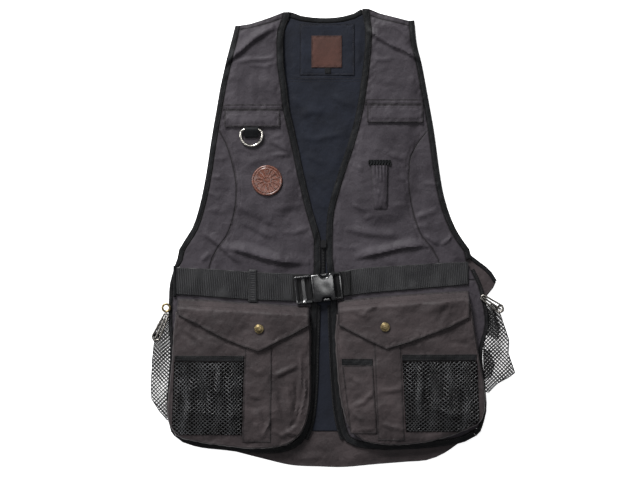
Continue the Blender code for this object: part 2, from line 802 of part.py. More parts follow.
def build_back():
    """Back panel, its lining, the neck binding and the corner that shows at one side."""
    chest = [row for row in CHEST if row.y > 0]
    left = [(-row.left_arm + BACK_INSET, row.y) for row in chest]
    right = [(row.right_arm - BACK_INSET, row.y) for row in chest]
    (x_left, y_left), (x_right, y_right) = ARM_TIP["left"], ARM_TIP["right"]
    left = [(-x_left + BACK_INSET, y_left - BACK_SHOULDER)] + left
    right = [(x_right - BACK_INSET, y_right - BACK_SHOULDER)] + right
    left = smooth_line(left + [(row.left, row.y) for row in BACK])
    right = smooth_line(right + [(row.right, row.y) for row in BACK])
    neck = offset(smooth_line(NECKLINE), -COLLAR_INSET)
    hem = smooth_line(BACK_HEM)
    plate("back_panel", "pocket cloth", left + hem + right[::-1] + neck[::-1], 0.0, SHELL)

    collar = smooth_line(NECKLINE)
    band = collar + offset(collar, -NECK_BINDING)[::-1]
    plate("neck_binding", "binding", band, SHELL + GAP, SHELL + GAP + BINDING)

    top = offset(collar, -NECK_BINDING - GAP)
    low_left = smooth_line([(row.left, row.y) for row in INSIDE])
    low_right = smooth_line([(row.right, row.y) for row in INSIDE])
    plate("lining", "lining cloth", top + low_right + low_left[::-1],
          LINING_LOW, LINING_LOW + LINING)

    patch_low = LINING_LOW + LINING + GAP
    plate("neck_patch", "lining cloth", box_outline(*PATCH_BOX), patch_low, patch_low + LINING)
    label_low = patch_low + LINING + GAP
    plate("neck_label", "woven label", box_outline(*LABEL_BOX), label_low, label_low + LINING)
    tab_low, tab_high = SIZE_TAB_BOX[2], LABEL_BOX[2] - GAP
    tab = box_outline(SIZE_TAB_BOX[0], SIZE_TAB_BOX[1], tab_low, tab_high)
    plate("size_tab", "binding", tab, label_low, label_low + LINING / 2)

    edge = smooth_line(CORNER_BINDING)
    wrap = edge + offset(edge, -CORNER_WIDTH)[::-1]
    plate("corner_binding", "binding", wrap, FRONT_LOW - GAP - LINING, FRONT_LOW - GAP)


# Belt and buckle


def build_belt():
    """Two lengths of webbing under the buckle, the doubled end and the cloth keeper."""
    for side, rows in BELT.items():
        top = smooth_line([(row.x, row.top) for row in rows], BELT_STEP)
        low = smooth_line([(row.x, row.low) for row in rows], BELT_STEP)
        plate("belt_" + side, "webbing", top + low[::-1], BELT_LOW, BELT_TOP)

    rows = BELT["right"]
    top = smooth_line([(row.x, row.top - FOLD_INSET) for row in rows], 5.0)
    low = smooth_line([(row.x, row.low + FOLD_INSET) for row in rows], 5.0)
    near = [p for p in top if FOLD_BACK[0] < p[0] < FOLD_BACK[1]]
    far = [p for p in low if FOLD_BACK[0] < p[0] < FOLD_BACK[1]]
    plate("belt_end", "webbing", near + far[::-1], BELT_TOP + GAP, BELT_TOP + GAP + 2 * WEBBING)

    station = BELT["left"][2]
    high, low = station.top + KEEPER_REACH, station.low - KEEPER_REACH
    floor, roof = BELT_LOW, BELT_TOP + GAP
    outer = [(high + TRIM, floor), (high + TRIM, roof), (high, roof + TRIM), (low, roof + TRIM),
             (low - TRIM, roof), (low - TRIM, floor)]
    inner = [(low, floor), (low, roof), (high, roof), (high, floor)]
    profile_bar("belt_keeper", "webbing", outer + inner, *KEEPER)


def turned(outline):
    """An outline in the buckle's axes, set in its place on the belt."""
    c, s = math.cos(BUCKLE_TURN), math.sin(BUCKLE_TURN)
    cx, cy = BUCKLE_CENTRE
    return [(cx + x * c - y * s, cy + x * s + y * c) for x, y in outline]


def build_buckle():
    """Side release buckle: a ladder for the free webbing and the catch it clicks into."""
    half = BUCKLE_HEIGHT / 2
    frame = box_outline(*LADDER, -half, half, 3.0, 3.0)
    slots = [box_outline(a, b, SLOT_MARGIN - half, half - SLOT_MARGIN) for a, b in LADDER_SLOTS]
    plate("buckle_ladder", "black acetal", turned(frame), BUCKLE_LOW, BUCKLE_LOW + LADDER_THICK,
          [turned(slot) for slot in slots], bevel=0.8)

    x_in, x_out = CATCH
    n_in, n_out, deep = NOTCH
    outline = [(x_in, -half), (n_in, -half), (n_in + 2, deep - half), (n_out - 2, deep - half),
               (n_out, -half), (x_out, -half), (x_out, half), (n_out, half),
               (n_out - 4, half - deep), (n_in + 4, half - deep), (n_in, half), (x_in, half)]
    slot = box_outline(*CATCH_SLOT, SLOT_MARGIN - half, half - SLOT_MARGIN)
    plate("buckle_catch", "black acetal", turned(outline), BUCKLE_LOW, BUCKLE_LOW + CATCH_THICK,
          [turned(slot)], bevel=1.3)


# Zip


def build_zip():
    """The closed teeth from the foot of the neck opening to the buckle, and the slider."""
    half = ZIP_CHAIN / 2
    middle = (CHEST[-1].right_rim - CHEST[-1].left_rim) / 2
    line = box_outline(middle - half, middle + half, BUCKLE_CENTRE[1], ZIP_TOP)
    plate("zip_chain", "zip", line, FRONT_LOW, FRONT_LOW + TRIM)
    y_low, y_high, slider_half, height = SLIDER
    body = box_outline(middle - slider_half, middle + slider_half, y_low, y_high, 2.0, 3.5)
    seat = FRONT_LOW + BINDING + GAP
    plate("zip_slider", "zip", body, seat, seat + height)


# Ring, loop and whistle pocket


def ring_path():
    """The ring's wire from above: a straight bar with round corners and a round bow."""
    rise = RING_BAR_Y - RING_BOW_Y
    reach = math.sqrt(RING_RADIUS**2 - rise**2)
    start = math.atan2(rise, reach)
    bow_start = start - RING_CORNER / RING_RADIUS
    turn = (math.pi + 2 * bow_start) / BOW_STEPS
    bow = [bow_start - k * turn for k in range(BOW_STEPS + 1)]
    path = [(RING_X + RING_RADIUS * math.cos(t), RING_BOW_Y + RING_RADIUS * math.sin(t)) for t in bow]
    flat = reach - RING_CORNER
    return path + [(RING_X + flat * k / BAR_STEPS, RING_BAR_Y)
                   for k in range(-BAR_STEPS, BAR_STEPS + 1)]


def build_ring():
    """The ring tilts from its bar down to the cloth, and turns about the bar."""
    cloth_top = FRONT_TOP + SWELLS[0].height
    bar_z = cloth_top + GAP + LOOP_WALL + GAP + RING_WIRE
    bow_z = cloth_top + GAP + RING_WIRE
    reach = RING_BAR_Y - (RING_BOW_Y - RING_RADIUS)
    path = [(x, y, bar_z + (bow_z - bar_z) * (RING_BAR_Y - y) / reach) for x, y in ring_path()]
    wire_loop("d_ring", "nickel", path, RING_WIRE, 8)

    profile_bar("ring_loop", "webbing", loop_profile(cloth_top + GAP, bar_z),
                RING_X - LOOP_HALF, RING_X + LOOP_HALF)


def loop_profile(low, bar_z):
    """Webbing round the bar, sewn flat under the flap; a slit at its foot opens the hollow."""
    y = RING_BAR_Y
    near = RING_WIRE + GAP
    far = near + LOOP_WALL
    slant = math.tan(math.radians(22.5))
    floor = low + LOOP_WALL
    slit = y + near * slant
    outer = [(slit, low), (LOOP_TOP_Y, low), (LOOP_TOP_Y, floor + LOOP_WALL),
             (y + far, floor + LOOP_WALL), (y + far, bar_z + far * slant),
             (y + far * slant, bar_z + far), (y - far * slant, bar_z + far),
             (LOOP_FOLD_Y, floor + 1.4 * LOOP_WALL), (LOOP_FOLD_Y - 0.4, low), (slit - GAP, low)]
    inner = [(slit - GAP, floor), (LOOP_FOLD_Y + 2, floor), (LOOP_FOLD_Y + 2.2, floor + 0.7),
             (y - near * slant, bar_z + near), (y + near * slant, bar_z + near),
             (y + near, bar_z + near * slant), (y + near, bar_z - near * slant), (slit, floor)]
    return outer + inner


def build_whistle_pocket():
    """Half round tube of cloth on the right chest, and the gathered band over its mouth."""
    cloth_top = FRONT_TOP + SWELLS[1].height + GAP
    (in_top, out_top, y_top), (in_low, out_low, y_low) = WHISTLE_BODY
    columns, rows = 12, 5
    share = [0.5 - 0.5 * math.cos(math.pi * k / columns) for k in range(columns + 1)]

    def ring(t, wall):
        x_in = in_top + (in_low - in_top) * t + wall
        x_out = out_top + (out_low - out_top) * t - wall
        y = y_top + (y_low - y_top) * t
        rise = WHISTLE_RISE * (1 - WHISTLE_FLATTEN * t**8) - wall
        return [(x_in + (x_out - x_in) * s, y, cloth_top + rise * math.sqrt(4 * s * (1 - s) + 1e-9))
                for s in share]
    points = []
    for k in range(rows + 1):
        points += ring(k / rows, 0.0) + ring(k / rows, TRIM)[::-1]
    count = 2 * (columns + 1)
    polygons = [(k * count + i, k * count + (i + 1) % count, (k + 1) * count + (i + 1) % count,
                 (k + 1) * count + i) for k in range(rows) for i in range(count)]
    for i in range(columns):
        near, far = count - 1 - i, count - 2 - i
        polygons.append((i + 1, i, near, far))
        last = rows * count
        polygons.append((last + i, last + i + 1, last + far, last + near))
    tube = new_object("whistle_pocket", "shell cloth", [tuple(c * MM for c in p) for p in points],
                      polygons)
    shape = bmesh.new()
    shape.from_mesh(tube.data)
    bmesh.ops.recalc_face_normals(shape, faces=shape.faces)
    shape.to_mesh(tube.data)
    shape.free()
    x_in, x_out, low, high = WHISTLE_TOP
    plate("whistle_band", "shell cloth", box_outline(x_in, x_out, low + GAP, high, 1.5, 2.5),
          cloth_top, cloth_top + 2 * SHELL, bevel=0.8)


# Pockets


class PocketShape:
    """Lines and heights of one pocket, x outwards."""

    def __init__(self, side):
        self.sign = SIGN[side]
        rows = POCKET_FLAP[side]
        inner = [(rows[0].x, rows[0].top - MOUTH_DROP)]
        outer = [(rows[-1].x + 1.5, rows[-1].top - MOUTH_DROP)]
        inner += [(getattr(row, side + "_in"), row.y) for row in POCKET]
        outer += [(getattr(row, side + "_out"), row.y) for row in POCKET]
        base = [(getattr(row, side + "_x"), getattr(row, side + "_y")) for row in POCKET_BASE]
        self.wall = smooth_line(inner + base + outer[::-1])
        self.face = shrink(self.wall)
        self.gusset = shrink(self.wall + offset(self.wall, SHELL + GAP)[::-1])
        flap_top = smooth_line([(row.x, row.top) for row in rows], FLAP_STEP)
        flap_edge = smooth_line([(row.x, row.low) for row in rows], FLAP_STEP)
        self.flap = flap_top + flap_edge[::-1]
        self.top_rows = np.array([(row.x, row.top) for row in rows], float)

    def face_low(self, x, y):
        """Underside of the face, crowned away from the gusset."""
        away = float(distance_to(self.wall, np.float64(x * self.sign), np.float64(y)))
        return FACE_LOW + POCKET_CROWN * smooth_step(away / CROWN_REACH)

    def flap_low(self, x, y):
        """Underside of the flap, from the front at its seam to above the pocket's mouth."""
        seam = float(np.interp(x * self.sign, self.top_rows[:, 0], self.top_rows[:, 1]))
        share = smooth_step((seam - y) / FLAP_RISE)
        return BELT_LOW * (1 - share) + (self.face_low(x, y) + FLAP_LEVEL) * share


def build_pocket(side):
    """Gusset, face, what is sewn on the face, the flap and its snap."""
    pocket = PocketShape(side)
    on_face = [piece for piece in FACE_PIECES if piece.side == side]
    outlines = {piece.name: shrink([(piece.in_top, piece.y_top), (piece.in_low, piece.y_low),
                                    (piece.out_low, piece.y_low), (piece.out_top, piece.y_top)])
                for piece in on_face}
    shapes = [pocket.face, pocket.gusset, pocket.flap] + list(outlines.values())
    cloth = ClothMap(shapes, POCKET_PITCH)
    face_top = raised(pocket.face_low, SHELL)
    cloth.cut("pocket_face_" + side, "pocket cloth", pocket.face, pocket.face_low, face_top,
              pocket.sign)
    cloth.cut("pocket_gusset_" + side, "pocket cloth", pocket.gusset, level(BELT_LOW),
              raised(pocket.face_low, -GAP), pocket.sign)
    cover = raised(face_top, GAP)
    for name, outline in outlines.items():
        finish = "black net" if name.startswith("mesh_panel") else "pocket cloth"
        cloth.cut(name, finish, outline, cover, raised(cover, TRIM), pocket.sign)
    cloth.cut("pocket_flap_" + side, "pocket cloth", pocket.flap, pocket.flap_low,
              raised(pocket.flap_low, SHELL), pocket.sign)

    x, y = SNAP[side]
    x *= pocket.sign
    rim = [(x + SNAP_RADIUS * math.cos(k), y + SNAP_RADIUS * math.sin(k)) for k in range(7)]
    seat = max(pocket.flap_low(*place) for place in rim + [(x, y)]) + SHELL + GAP
    build_snap("snap_" + side, x, y, seat)


def build_snap(name, x, y, seat):
    """Snap cap: a turned dome with a rolled edge, flat underneath."""
    profile = ((1.0, 0.0), (1.0, 0.35), (0.93, 0.55), (0.8, 0.6), (0.6, 0.85), (0.3, 1.0))
    sides = 20
    points, polygons = [], []
    for share, height in profile:
        for k in range(sides):
            turn = 2 * math.pi * k / sides
            points.append(((x + SNAP_RADIUS * share * math.cos(turn)) * MM,
                           (y + SNAP_RADIUS * share * math.sin(turn)) * MM,
                           (seat + SNAP_HEIGHT * height) * MM))
    for row in range(len(profile) - 1):
        for k in range(sides):
            m = (k + 1) % sides
            polygons.append((row * sides + k, row * sides + m, (row + 1) * sides + m,
                             (row + 1) * sides + k))
    last = (len(profile) - 1) * sides
    polygons.append(tuple(reversed(range(sides))))
    polygons.append(tuple(range(last, last + sides)))
    new_object(name, "antique brass", points, polygons, smooth=True)


# Net bags and hooks


def build_bag(side):
    """Empty net bag that lies folded beside the pocket, tucked in under its edge."""
    outline = BAG[side]
    net = ClothMap([list(outline)], NET_PITCH)

    def top(x, y):
        away = float(distance_to(outline + outline[:1], np.float64(x), np.float64(y)))
        return BAG_EDGE + BAG_SWELL * smooth_step((away - BAG_START) / BAG_REACH)
    net.cut("net_bag_" + side, "black net", outline, level(0.0), top)


def build_hook(side):
    """Snap hook: a long closed loop of wire that holds the net bag."""
    hook = HOOK[side]
    start, end = np.array((hook.x0, hook.y0)), np.array((hook.x1, hook.y1))
    along = (end - start) / np.linalg.norm(end - start)
    across = np.array((-along[1], along[0]))
    path = []
    for centre, first, radius in ((end, -90, HOOK_HALF), (start, 90, HOOK_HALF * HOOK_NECK)):
        for k in range(9):
            turn = math.radians(first + 22.5 * k)
            place = centre + radius * (along * math.cos(turn) + across * math.sin(turn))
            path.append((*place, hook.low + HOOK_WIRE))
    wire_loop("snap_hook_" + side, "nickel", path, HOOK_WIRE, 6)


def build_side_ring():
    """Small ring at the left side that the snap hook is clipped to."""
    x, y, radius, wire = SIDE_RING
    low = FRONT_LOW + BINDING + GAP + wire
    path = [(*place, low) for place in circle_outline(x, y, radius - wire, 16)]
    wire_loop("side_ring", "antique brass", path, wire, 6)


def main():
    clear_scene()
    build_back()
    for side in SIDES:
        build_half(side)
    build_zip()
    build_belt()
    build_buckle()
    build_ring()
    build_whistle_pocket()
    for side in SIDES:
        build_pocket(side)
        build_bag(side)
        build_hook(side)
    build_side_ring()


main()
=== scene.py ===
# %% [markdown]
# # A dog training vest, laid flat
# The vest is waxed cotton over a navy lining. It lies on its back, zipped to the belt, with the
# camera straight above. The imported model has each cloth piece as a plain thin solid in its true
# outline. This lesson gives those pieces their folds, seams, stitches, net and finishes.

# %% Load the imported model
import math
from collections import namedtuple

import bmesh
import bpy
import numpy as np
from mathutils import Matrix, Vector
from mathutils.geometry import delaunay_2d_cdt


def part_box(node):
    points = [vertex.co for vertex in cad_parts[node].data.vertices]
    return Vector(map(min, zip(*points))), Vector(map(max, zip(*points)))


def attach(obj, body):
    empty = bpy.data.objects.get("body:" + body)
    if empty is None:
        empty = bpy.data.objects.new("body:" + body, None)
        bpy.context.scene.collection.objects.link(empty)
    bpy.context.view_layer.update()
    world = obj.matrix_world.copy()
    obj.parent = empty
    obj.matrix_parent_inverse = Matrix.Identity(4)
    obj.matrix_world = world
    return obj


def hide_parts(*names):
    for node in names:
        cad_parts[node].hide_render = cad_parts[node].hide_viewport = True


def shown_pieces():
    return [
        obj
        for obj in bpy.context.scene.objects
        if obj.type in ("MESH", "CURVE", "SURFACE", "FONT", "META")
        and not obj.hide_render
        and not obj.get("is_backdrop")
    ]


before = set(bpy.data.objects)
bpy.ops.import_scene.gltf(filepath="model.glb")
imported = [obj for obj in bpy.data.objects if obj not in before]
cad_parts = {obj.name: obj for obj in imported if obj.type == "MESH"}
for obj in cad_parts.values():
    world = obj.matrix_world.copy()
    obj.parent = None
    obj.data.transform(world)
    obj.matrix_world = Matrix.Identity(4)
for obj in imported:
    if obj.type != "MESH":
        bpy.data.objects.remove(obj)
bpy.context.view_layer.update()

MM = 0.001
SIDES = ("left", "right")

# %% [markdown]
# ## Camera and light
# The photograph looks straight down, so the camera hangs over the vest with a long lens. The
# light comes from a wide panel beyond the shoulders, a little to the left, which is what puts a
# dark line under each flap and fold. A low panel at the left shapes the folds, two weak ones
# and a pale world fill the shadows, and the table is lit from below, so it shows white.

# %% Camera, panels, world and floor
LENS, SENSOR = 85.0, 36.0
VIEW_WIDTH = 1.024
VIEW_X = -0.0064
CLOTH_LEVEL = 0.006

scene = bpy.context.scene
camera = bpy.data.objects.new("Camera", bpy.data.cameras.new("Camera"))
camera.data.lens = LENS
camera.data.sensor_width = SENSOR
camera.location = (VIEW_X, 0.0, CLOTH_LEVEL + VIEW_WIDTH * LENS / SENSOR)
scene.collection.objects.link(camera)
scene.camera = camera
scene.view_settings.view_transform = "Standard"


def light_panel(name, place, size, power):
    """A square panel of soft light that faces the vest."""
    light = bpy.data.lights.new(name, "AREA")
    light.size = size
    light.energy = power
    panel = bpy.data.objects.new(name, light)
    panel.location = place
    panel.rotation_euler = (-Vector(place)).to_track_quat("-Z", "Y").to_euler()
    scene.collection.objects.link(panel)


light_panel("Key panel", (-2.7, 6.0, 3.9), 2.1, 1130.0)
light_panel("Side panel", (-3.0, 0.4, 1.5), 1.2, 45.0)
light_panel("Fill panel", (1.6, 0.2, 1.7), 1.6, 3.5)
light_panel("Overhead panel", (0.2, 0.35, 3.2), 0.9, 15.0)

world = bpy.data.worlds.new("Pale studio")
world.use_nodes = True
world.node_tree.nodes["Background"].inputs["Color"].default_value = (0.93, 0.95, 1.0, 1.0)
world.node_tree.nodes["Background"].inputs["Strength"].default_value = 0.17
scene.world = world

# %% [markdown]
# ## Finishes
# Every finish is a node tree, so it keeps its detail close up. One function turns the hex
# colours that a designer writes into the linear values that Blender wants, and one adds a node
# with its settings and links. Patterns read object coordinates in metres, so each scale is one
# over a real size.

# %% Helpers for materials
def linear(hex_colour):
    """sRGB hex to linear colour with alpha."""
    channels = [int(hex_colour[i:i + 2], 16) / 255 for i in (1, 3, 5)]
    return (*[c / 12.92 if c <= 0.04045 else ((c + 0.055) / 1.055)**2.4 for c in channels], 1.0)


def add_node(tree, kind, inputs=(), **settings):
    """Add a node, apply its settings, and set or link its inputs by name or number."""
    made = tree.nodes.new(kind)
    for key, value in settings.items():
        setattr(made, key, value)
    for key, value in dict(inputs).items():
        if isinstance(value, bpy.types.NodeSocket):
            tree.links.new(value, made.inputs[key])
        else:
            made.inputs[key].default_value = value
    return made


def new_material(name, **constants):
    """A material with its Principled shader, and the constants set on that shader."""
    made = bpy.data.materials.new(name)
    made.use_nodes = True
    shader = made.node_tree.nodes["Principled BSDF"]
    for key, value in constants.items():
        shader.inputs[key.replace("_", " ")].default_value = value
    place = add_node(made.node_tree, "ShaderNodeTexCoord").outputs["Object"]
    return made, made.node_tree, shader, place


def blend_colours(tree, share, first, second):
    """Output of a colour mix: first where share is 0, second where it is 1."""
    mixed = add_node(tree, "ShaderNodeMix", {0: share, 6: first, 7: second}, data_type="RGBA")
    return mixed.outputs[2]


print("material helpers ready")

# %% [markdown]
# ### Cloth
# Waxed cotton is a dense plain weave with wax pressed in: a dull, slightly uneven sheen and
# darker blotches where the wax is thick. Painted shade darkens each piece along its edges and
# seams, and the same painted shade darkens the net between its folds and the webbing under the
# buckle. The threads are finer than the picture shows, so the weave is drawn twice as coarse.
# The lining, bindings, webbing and label are woven too, and differ in colour, gloss and thread.

# %% Woven cloth
BLOTCH = 0.045
CRUMPLE = 0.011
GRAIN = 0.0022
# The seam colour is the colour of painted shade: at edges and seams, between net folds and under
# the buckle.
Weave = namedtuple("Weave", "dark light seam thread rough uneven gloss")


def woven_cloth(name, weave):
    """Cloth: mottled colour, painted shade from the edge attribute, crumples and a plain weave."""
    made, tree, shader, place = new_material(
        name, IOR=1.45, Specular_IOR_Level=weave.gloss, Sheen_Weight=0.27 * weave.gloss,
        Sheen_Roughness=0.5)
    blotch = add_node(tree, "ShaderNodeTexNoise", {
        "Vector": place, "Scale": 1 / BLOTCH, "Detail": 6.0, "Roughness": 0.6}).outputs["Fac"]
    grain = add_node(tree, "ShaderNodeTexNoise", {
        "Vector": place, "Scale": 1 / GRAIN, "Detail": 2.0, "Roughness": 0.7}).outputs["Fac"]
    both = add_node(tree, "ShaderNodeMix", {0: 0.35, 2: blotch, 3: grain}).outputs[0]
    share = add_node(tree, "ShaderNodeMapRange", {
        "Value": both, "From Min": 0.38, "From Max": 0.62}).outputs["Result"]
    ground = blend_colours(tree, share, linear(weave.dark), linear(weave.light))
    # Painted shade: the edge attribute pulls the colour towards the seam colour.
    edge = add_node(tree, "ShaderNodeAttribute", attribute_name="edge").outputs["Fac"]
    painted_shade_share = add_node(tree, "ShaderNodeMath", {0: edge, 1: 0.8}, operation="MULTIPLY")
    colour = blend_colours(tree, painted_shade_share.outputs[0], ground, linear(weave.seam))
    tree.links.new(colour, shader.inputs["Base Color"])
    rough = add_node(tree, "ShaderNodeMapRange", {
        "Value": both, "From Min": 0.3, "From Max": 0.7, "To Min": weave.rough - 0.1,
        "To Max": weave.rough + 0.1}).outputs["Result"]
    tree.links.new(rough, shader.inputs["Roughness"])

    crumple = add_node(tree, "ShaderNodeTexNoise", {
        "Vector": place, "Scale": 1 / CRUMPLE, "Detail": 1.5, "Roughness": 0.5,
        "Distortion": 0.4}).outputs["Fac"]
    folds = add_node(tree, "ShaderNodeBump", {
        "Strength": weave.uneven, "Distance": 0.0022, "Height": crumple}).outputs["Normal"]
    scale = math.pi / 10 / weave.thread
    warp = add_node(tree, "ShaderNodeTexWave", {"Vector": place, "Scale": scale},
                    bands_direction="X").outputs["Fac"]
    weft = add_node(tree, "ShaderNodeTexWave", {"Vector": place, "Scale": scale},
                    bands_direction="Y").outputs["Fac"]
    threads = add_node(tree, "ShaderNodeMath", {0: warp, 1: weft}, operation="MULTIPLY")
    normal = add_node(tree, "ShaderNodeBump", {
        "Strength": 0.35, "Distance": 0.00018, "Height": threads.outputs[0],
        "Normal": folds}).outputs["Normal"]
    tree.links.new(normal, shader.inputs["Normal"])
    return made


CLOTHS = {
    "waxed cotton, brown grey": Weave("#262227", "#373338", "#131012", 0.0011, 0.6, 0.5, 0.22),
    "waxed cotton, dark brown": Weave("#252021", "#373031", "#131011", 0.0011, 0.62, 0.55, 0.22),
    "polycotton lining, navy": Weave("#11131a", "#1a1d26", "#090a10", 0.0008, 0.72, 0.4, 0.14),
    "woven tape, charcoal": Weave("#0a0b0c", "#141517", "#050506", 0.0012, 0.58, 0.3, 0.13),
    "nylon webbing, grey": Weave("#18181a", "#2b2b2c", "#060606", 0.0013, 0.46, 0.1, 0.22),
    "woven label, brown": Weave("#35221d", "#452c26", "#251511", 0.0009, 0.7, 0.2, 0.22),
    "polyester net, grey gloss": Weave("#1e1f21", "#3e3f41", "#070708", 0.0008, 0.27, 0.05, 0.5),
    "polyester net, black": Weave("#0b0b0c", "#151517", "#060606", 0.0008, 0.4, 0.05, 0.22),
    "backing cloth, black as painted shade": Weave("#050404", "#0a0808", "#040404", 0.0009, 0.8, 0.2, 0.03),
    "polyester thread, dark": Weave("#1c1919", "#2a2626", "#343030", 0.0006, 0.5, 0.05, 0.22),
}
SHELL, POCKET, LINING, TAPE, WEBBING, LABEL, NET, BAG_NET, SHADED_BACKING, THREAD = (
    woven_cloth(name, weave) for name, weave in CLOTHS.items())
print(len(CLOTHS), "cloths")

# %% [markdown]
# ### Leather, plastic and metal
# The badge is vegetable tanned leather, pressed and waxed: fine pores and a soft gloss. The
# buckle is moulded acetal, smooth with a slight orange peel. The chest ring is nickel plated
# steel wire, and the snap hooks are zinc alloy, worn dull. The snap caps and the side ring are
# antique brass. The zip is moulded plastic with little gloss.

# %% Leather, acetal, nickel and brass
def mottled(name, dark, light, rough, grain, bump_depth, **constants):
    """A moulded, tanned or plated surface: two tones, uneven gloss and a fine relief."""
    made, tree, shader, place = new_material(name, **constants)
    noise = add_node(tree, "ShaderNodeTexNoise", {
        "Vector": place, "Scale": 1 / grain, "Detail": 5.0, "Roughness": 0.6}).outputs["Fac"]
    share = add_node(tree, "ShaderNodeMapRange", {
        "Value": noise, "From Min": 0.35, "From Max": 0.65}).outputs["Result"]
    tree.links.new(blend_colours(tree, share, linear(dark), linear(light)),
                   shader.inputs["Base Color"])
    gloss = add_node(tree, "ShaderNodeMapRange", {
        "Value": noise, "To Min": rough * 0.75, "To Max": rough * 1.25}).outputs["Result"]
    tree.links.new(gloss, shader.inputs["Roughness"])
    relief = add_node(tree, "ShaderNodeBump", {
        "Strength": 0.4, "Distance": bump_depth, "Height": noise}).outputs["Normal"]
    tree.links.new(relief, shader.inputs["Normal"])
    return made


LEATHER = mottled("vegetable tanned leather", "#40231a", "#643828", 0.4, 0.0035, 0.0004,
                  IOR=1.5, Coat_Weight=0.4, Coat_Roughness=0.25)
ACETAL = mottled("moulded acetal, black", "#0c0c0d", "#171718", 0.24, 0.006, 0.00015, IOR=1.52,
                 Coat_Weight=0.5, Coat_Roughness=0.16)
NICKEL = mottled("nickel plated steel", "#b9b4ab", "#d8d4cc", 0.2, 0.004, 0.00005, Metallic=1.0)
DULL_NICKEL = mottled("worn zinc alloy", "#5d5a56", "#8d8983", 0.3, 0.003, 0.0001, Metallic=1.0)
BRASS = mottled("antique brass", "#5a4e39", "#93835f", 0.4, 0.003, 0.0001, Metallic=1.0)
ZIPPER = mottled("moulded zip, black", "#08080a", "#131315", 0.5, 0.002, 0.0001, IOR=1.46,
                 Specular_IOR_Level=0.2)
FLOOR = mottled("opal acrylic, lit from below", "#f4f4f4", "#f8f8f8", 0.8, 0.2, 0.0001,
                Specular_IOR_Level=0.1, Emission_Color=(1.0, 1.0, 1.0, 1.0),
                Emission_Strength=0.72)
print("six more finishes and the floor")

floor_mesh = bpy.data.meshes.new("floor")
REACH = 3.0
floor_mesh.from_pydata([(-REACH, -REACH, -MM), (REACH, -REACH, -MM), (REACH, REACH, -MM),
                        (-REACH, REACH, -MM)], [], [(0, 1, 2, 3)])
floor_mesh.materials.append(FLOOR)
floor = bpy.data.objects.new("floor", floor_mesh)
scene.collection.objects.link(floor)
floor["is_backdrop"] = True

# %% [markdown]
# ## Flat patterns
# Each cloth node is a thin solid between an underside and a top over the same outline. Its
# outline is read from its top faces, and filled again with fine triangles. Worn cloth stretches
# at the neck and shoulders, so three pulls move the outlines there, the largest by 11 mm. All
# layers get their heights from the same few functions, so a crease moves every layer together
# and none cuts into the next.

# %% Outlines and lines
def inside(outline, x, y):
    """Whether each point (x, y) lies in the outline."""
    hits = np.zeros(len(x), bool)
    for (x0, y0), (x1, y1) in zip(outline, outline[1:] + outline[:1]):
        if y0 != y1:
            crossing = (y0 > y) != (y1 > y)
            hits ^= crossing & (x < (x1 - x0) * (y - y0) / (y1 - y0) + x0)
    return hits


def distance_to(line, x, y):
    """Shortest distance from each point to an open line."""
    best = np.full(np.shape(x), 1e9)
    for (x0, y0), (x1, y1) in zip(line, line[1:]):
        length = (x1 - x0)**2 + (y1 - y0)**2
        if length > 1e-9:
            t = np.clip(((x - x0) * (x1 - x0) + (y - y0) * (y1 - y0)) / length, 0, 1)
            best = np.minimum(best, np.hypot(x - x0 - t * (x1 - x0), y - y0 - t * (y1 - y0)))
    return best


def divided(line, pitch, closed=True):
    """The line with its long edges divided."""
    ends = line[1:] + line[:1] if closed else line[1:]
    out = []
    for (x0, y0), (x1, y1) in zip(line, ends):
        count = max(1, round(math.hypot(x1 - x0, y1 - y0) / pitch))
        out += [(x0 + (x1 - x0) * k / count, y0 + (y1 - y0) * k / count) for k in range(count)]
    return out if closed else out + [line[-1]]


def inset(outline, distance):
    """Points that far inside a closed anticlockwise outline, one for each of its points."""
    points = np.array(outline, float)
    first = points - np.roll(points, 1, axis=0)
    second = np.roll(points, -1, axis=0) - points
    first /= np.linalg.norm(first, axis=1)[:, None]
    second /= np.linalg.norm(second, axis=1)[:, None]
    mid = first + second
    mid /= np.linalg.norm(mid, axis=1)[:, None]
    stretch = np.clip((mid * second).sum(axis=1), 0.5, 1.0)
    normal = np.stack((-mid[:, 1], mid[:, 0]), axis=1)
    return points + normal * (distance / stretch)[:, None]


# Pulls at the left neck peak, the right one and the left shoulder: centre, move and reach
PULLS = ((-66, 362, 10, 5, 34), (68, 364, -4, 5, 26), (-130, 339, -2, 3, 14))


def pulled(x, y):
    """A point after the pulls."""
    for px, py, dx, dy, reach in PULLS:
        t = max(0.0, 1.0 - math.hypot(x - px, y - py) / reach)
        share = t * t * (3.0 - 2.0 * t)
        x, y = x + dx * share, y + dy * share
    return round(x, 2), round(y, 2)


def outlines_of(node):
    """Outlines of a CAD piece from above, in mm: the outer one first, then its holes."""
    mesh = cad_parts[node].data
    keys = [pulled(round(v.co.x / MM, 2), round(v.co.y / MM, 2)) for v in mesh.vertices]
    ahead = {}
    for face in mesh.polygons:
        if face.normal.z > 0.02:
            ring = [keys[i] for i in face.vertices]
            for start, end in zip(ring, ring[1:] + ring[:1]):
                if ahead.get(end) and start in ahead[end]:
                    ahead[end].remove(start)
                elif start != end:
                    ahead.setdefault(start, []).append(end)
    loops = []
    ahead = {start: ends for start, ends in ahead.items() if ends}
    while ahead:
        start = at = next(iter(ahead))
        loop = []
        while at in ahead:
            loop.append(at)
            following = ahead[at].pop(0)
            if not ahead[at]:
                del ahead[at]
            at = following
            if at == start:
                break
        loops.append(loop)
    return sorted(loops, key=len_round, reverse=True)


def len_round(loop):
    """Length of a closed loop."""
    return sum(math.dist(a, b) for a, b in zip(loop, loop[1:] + loop[:1]))


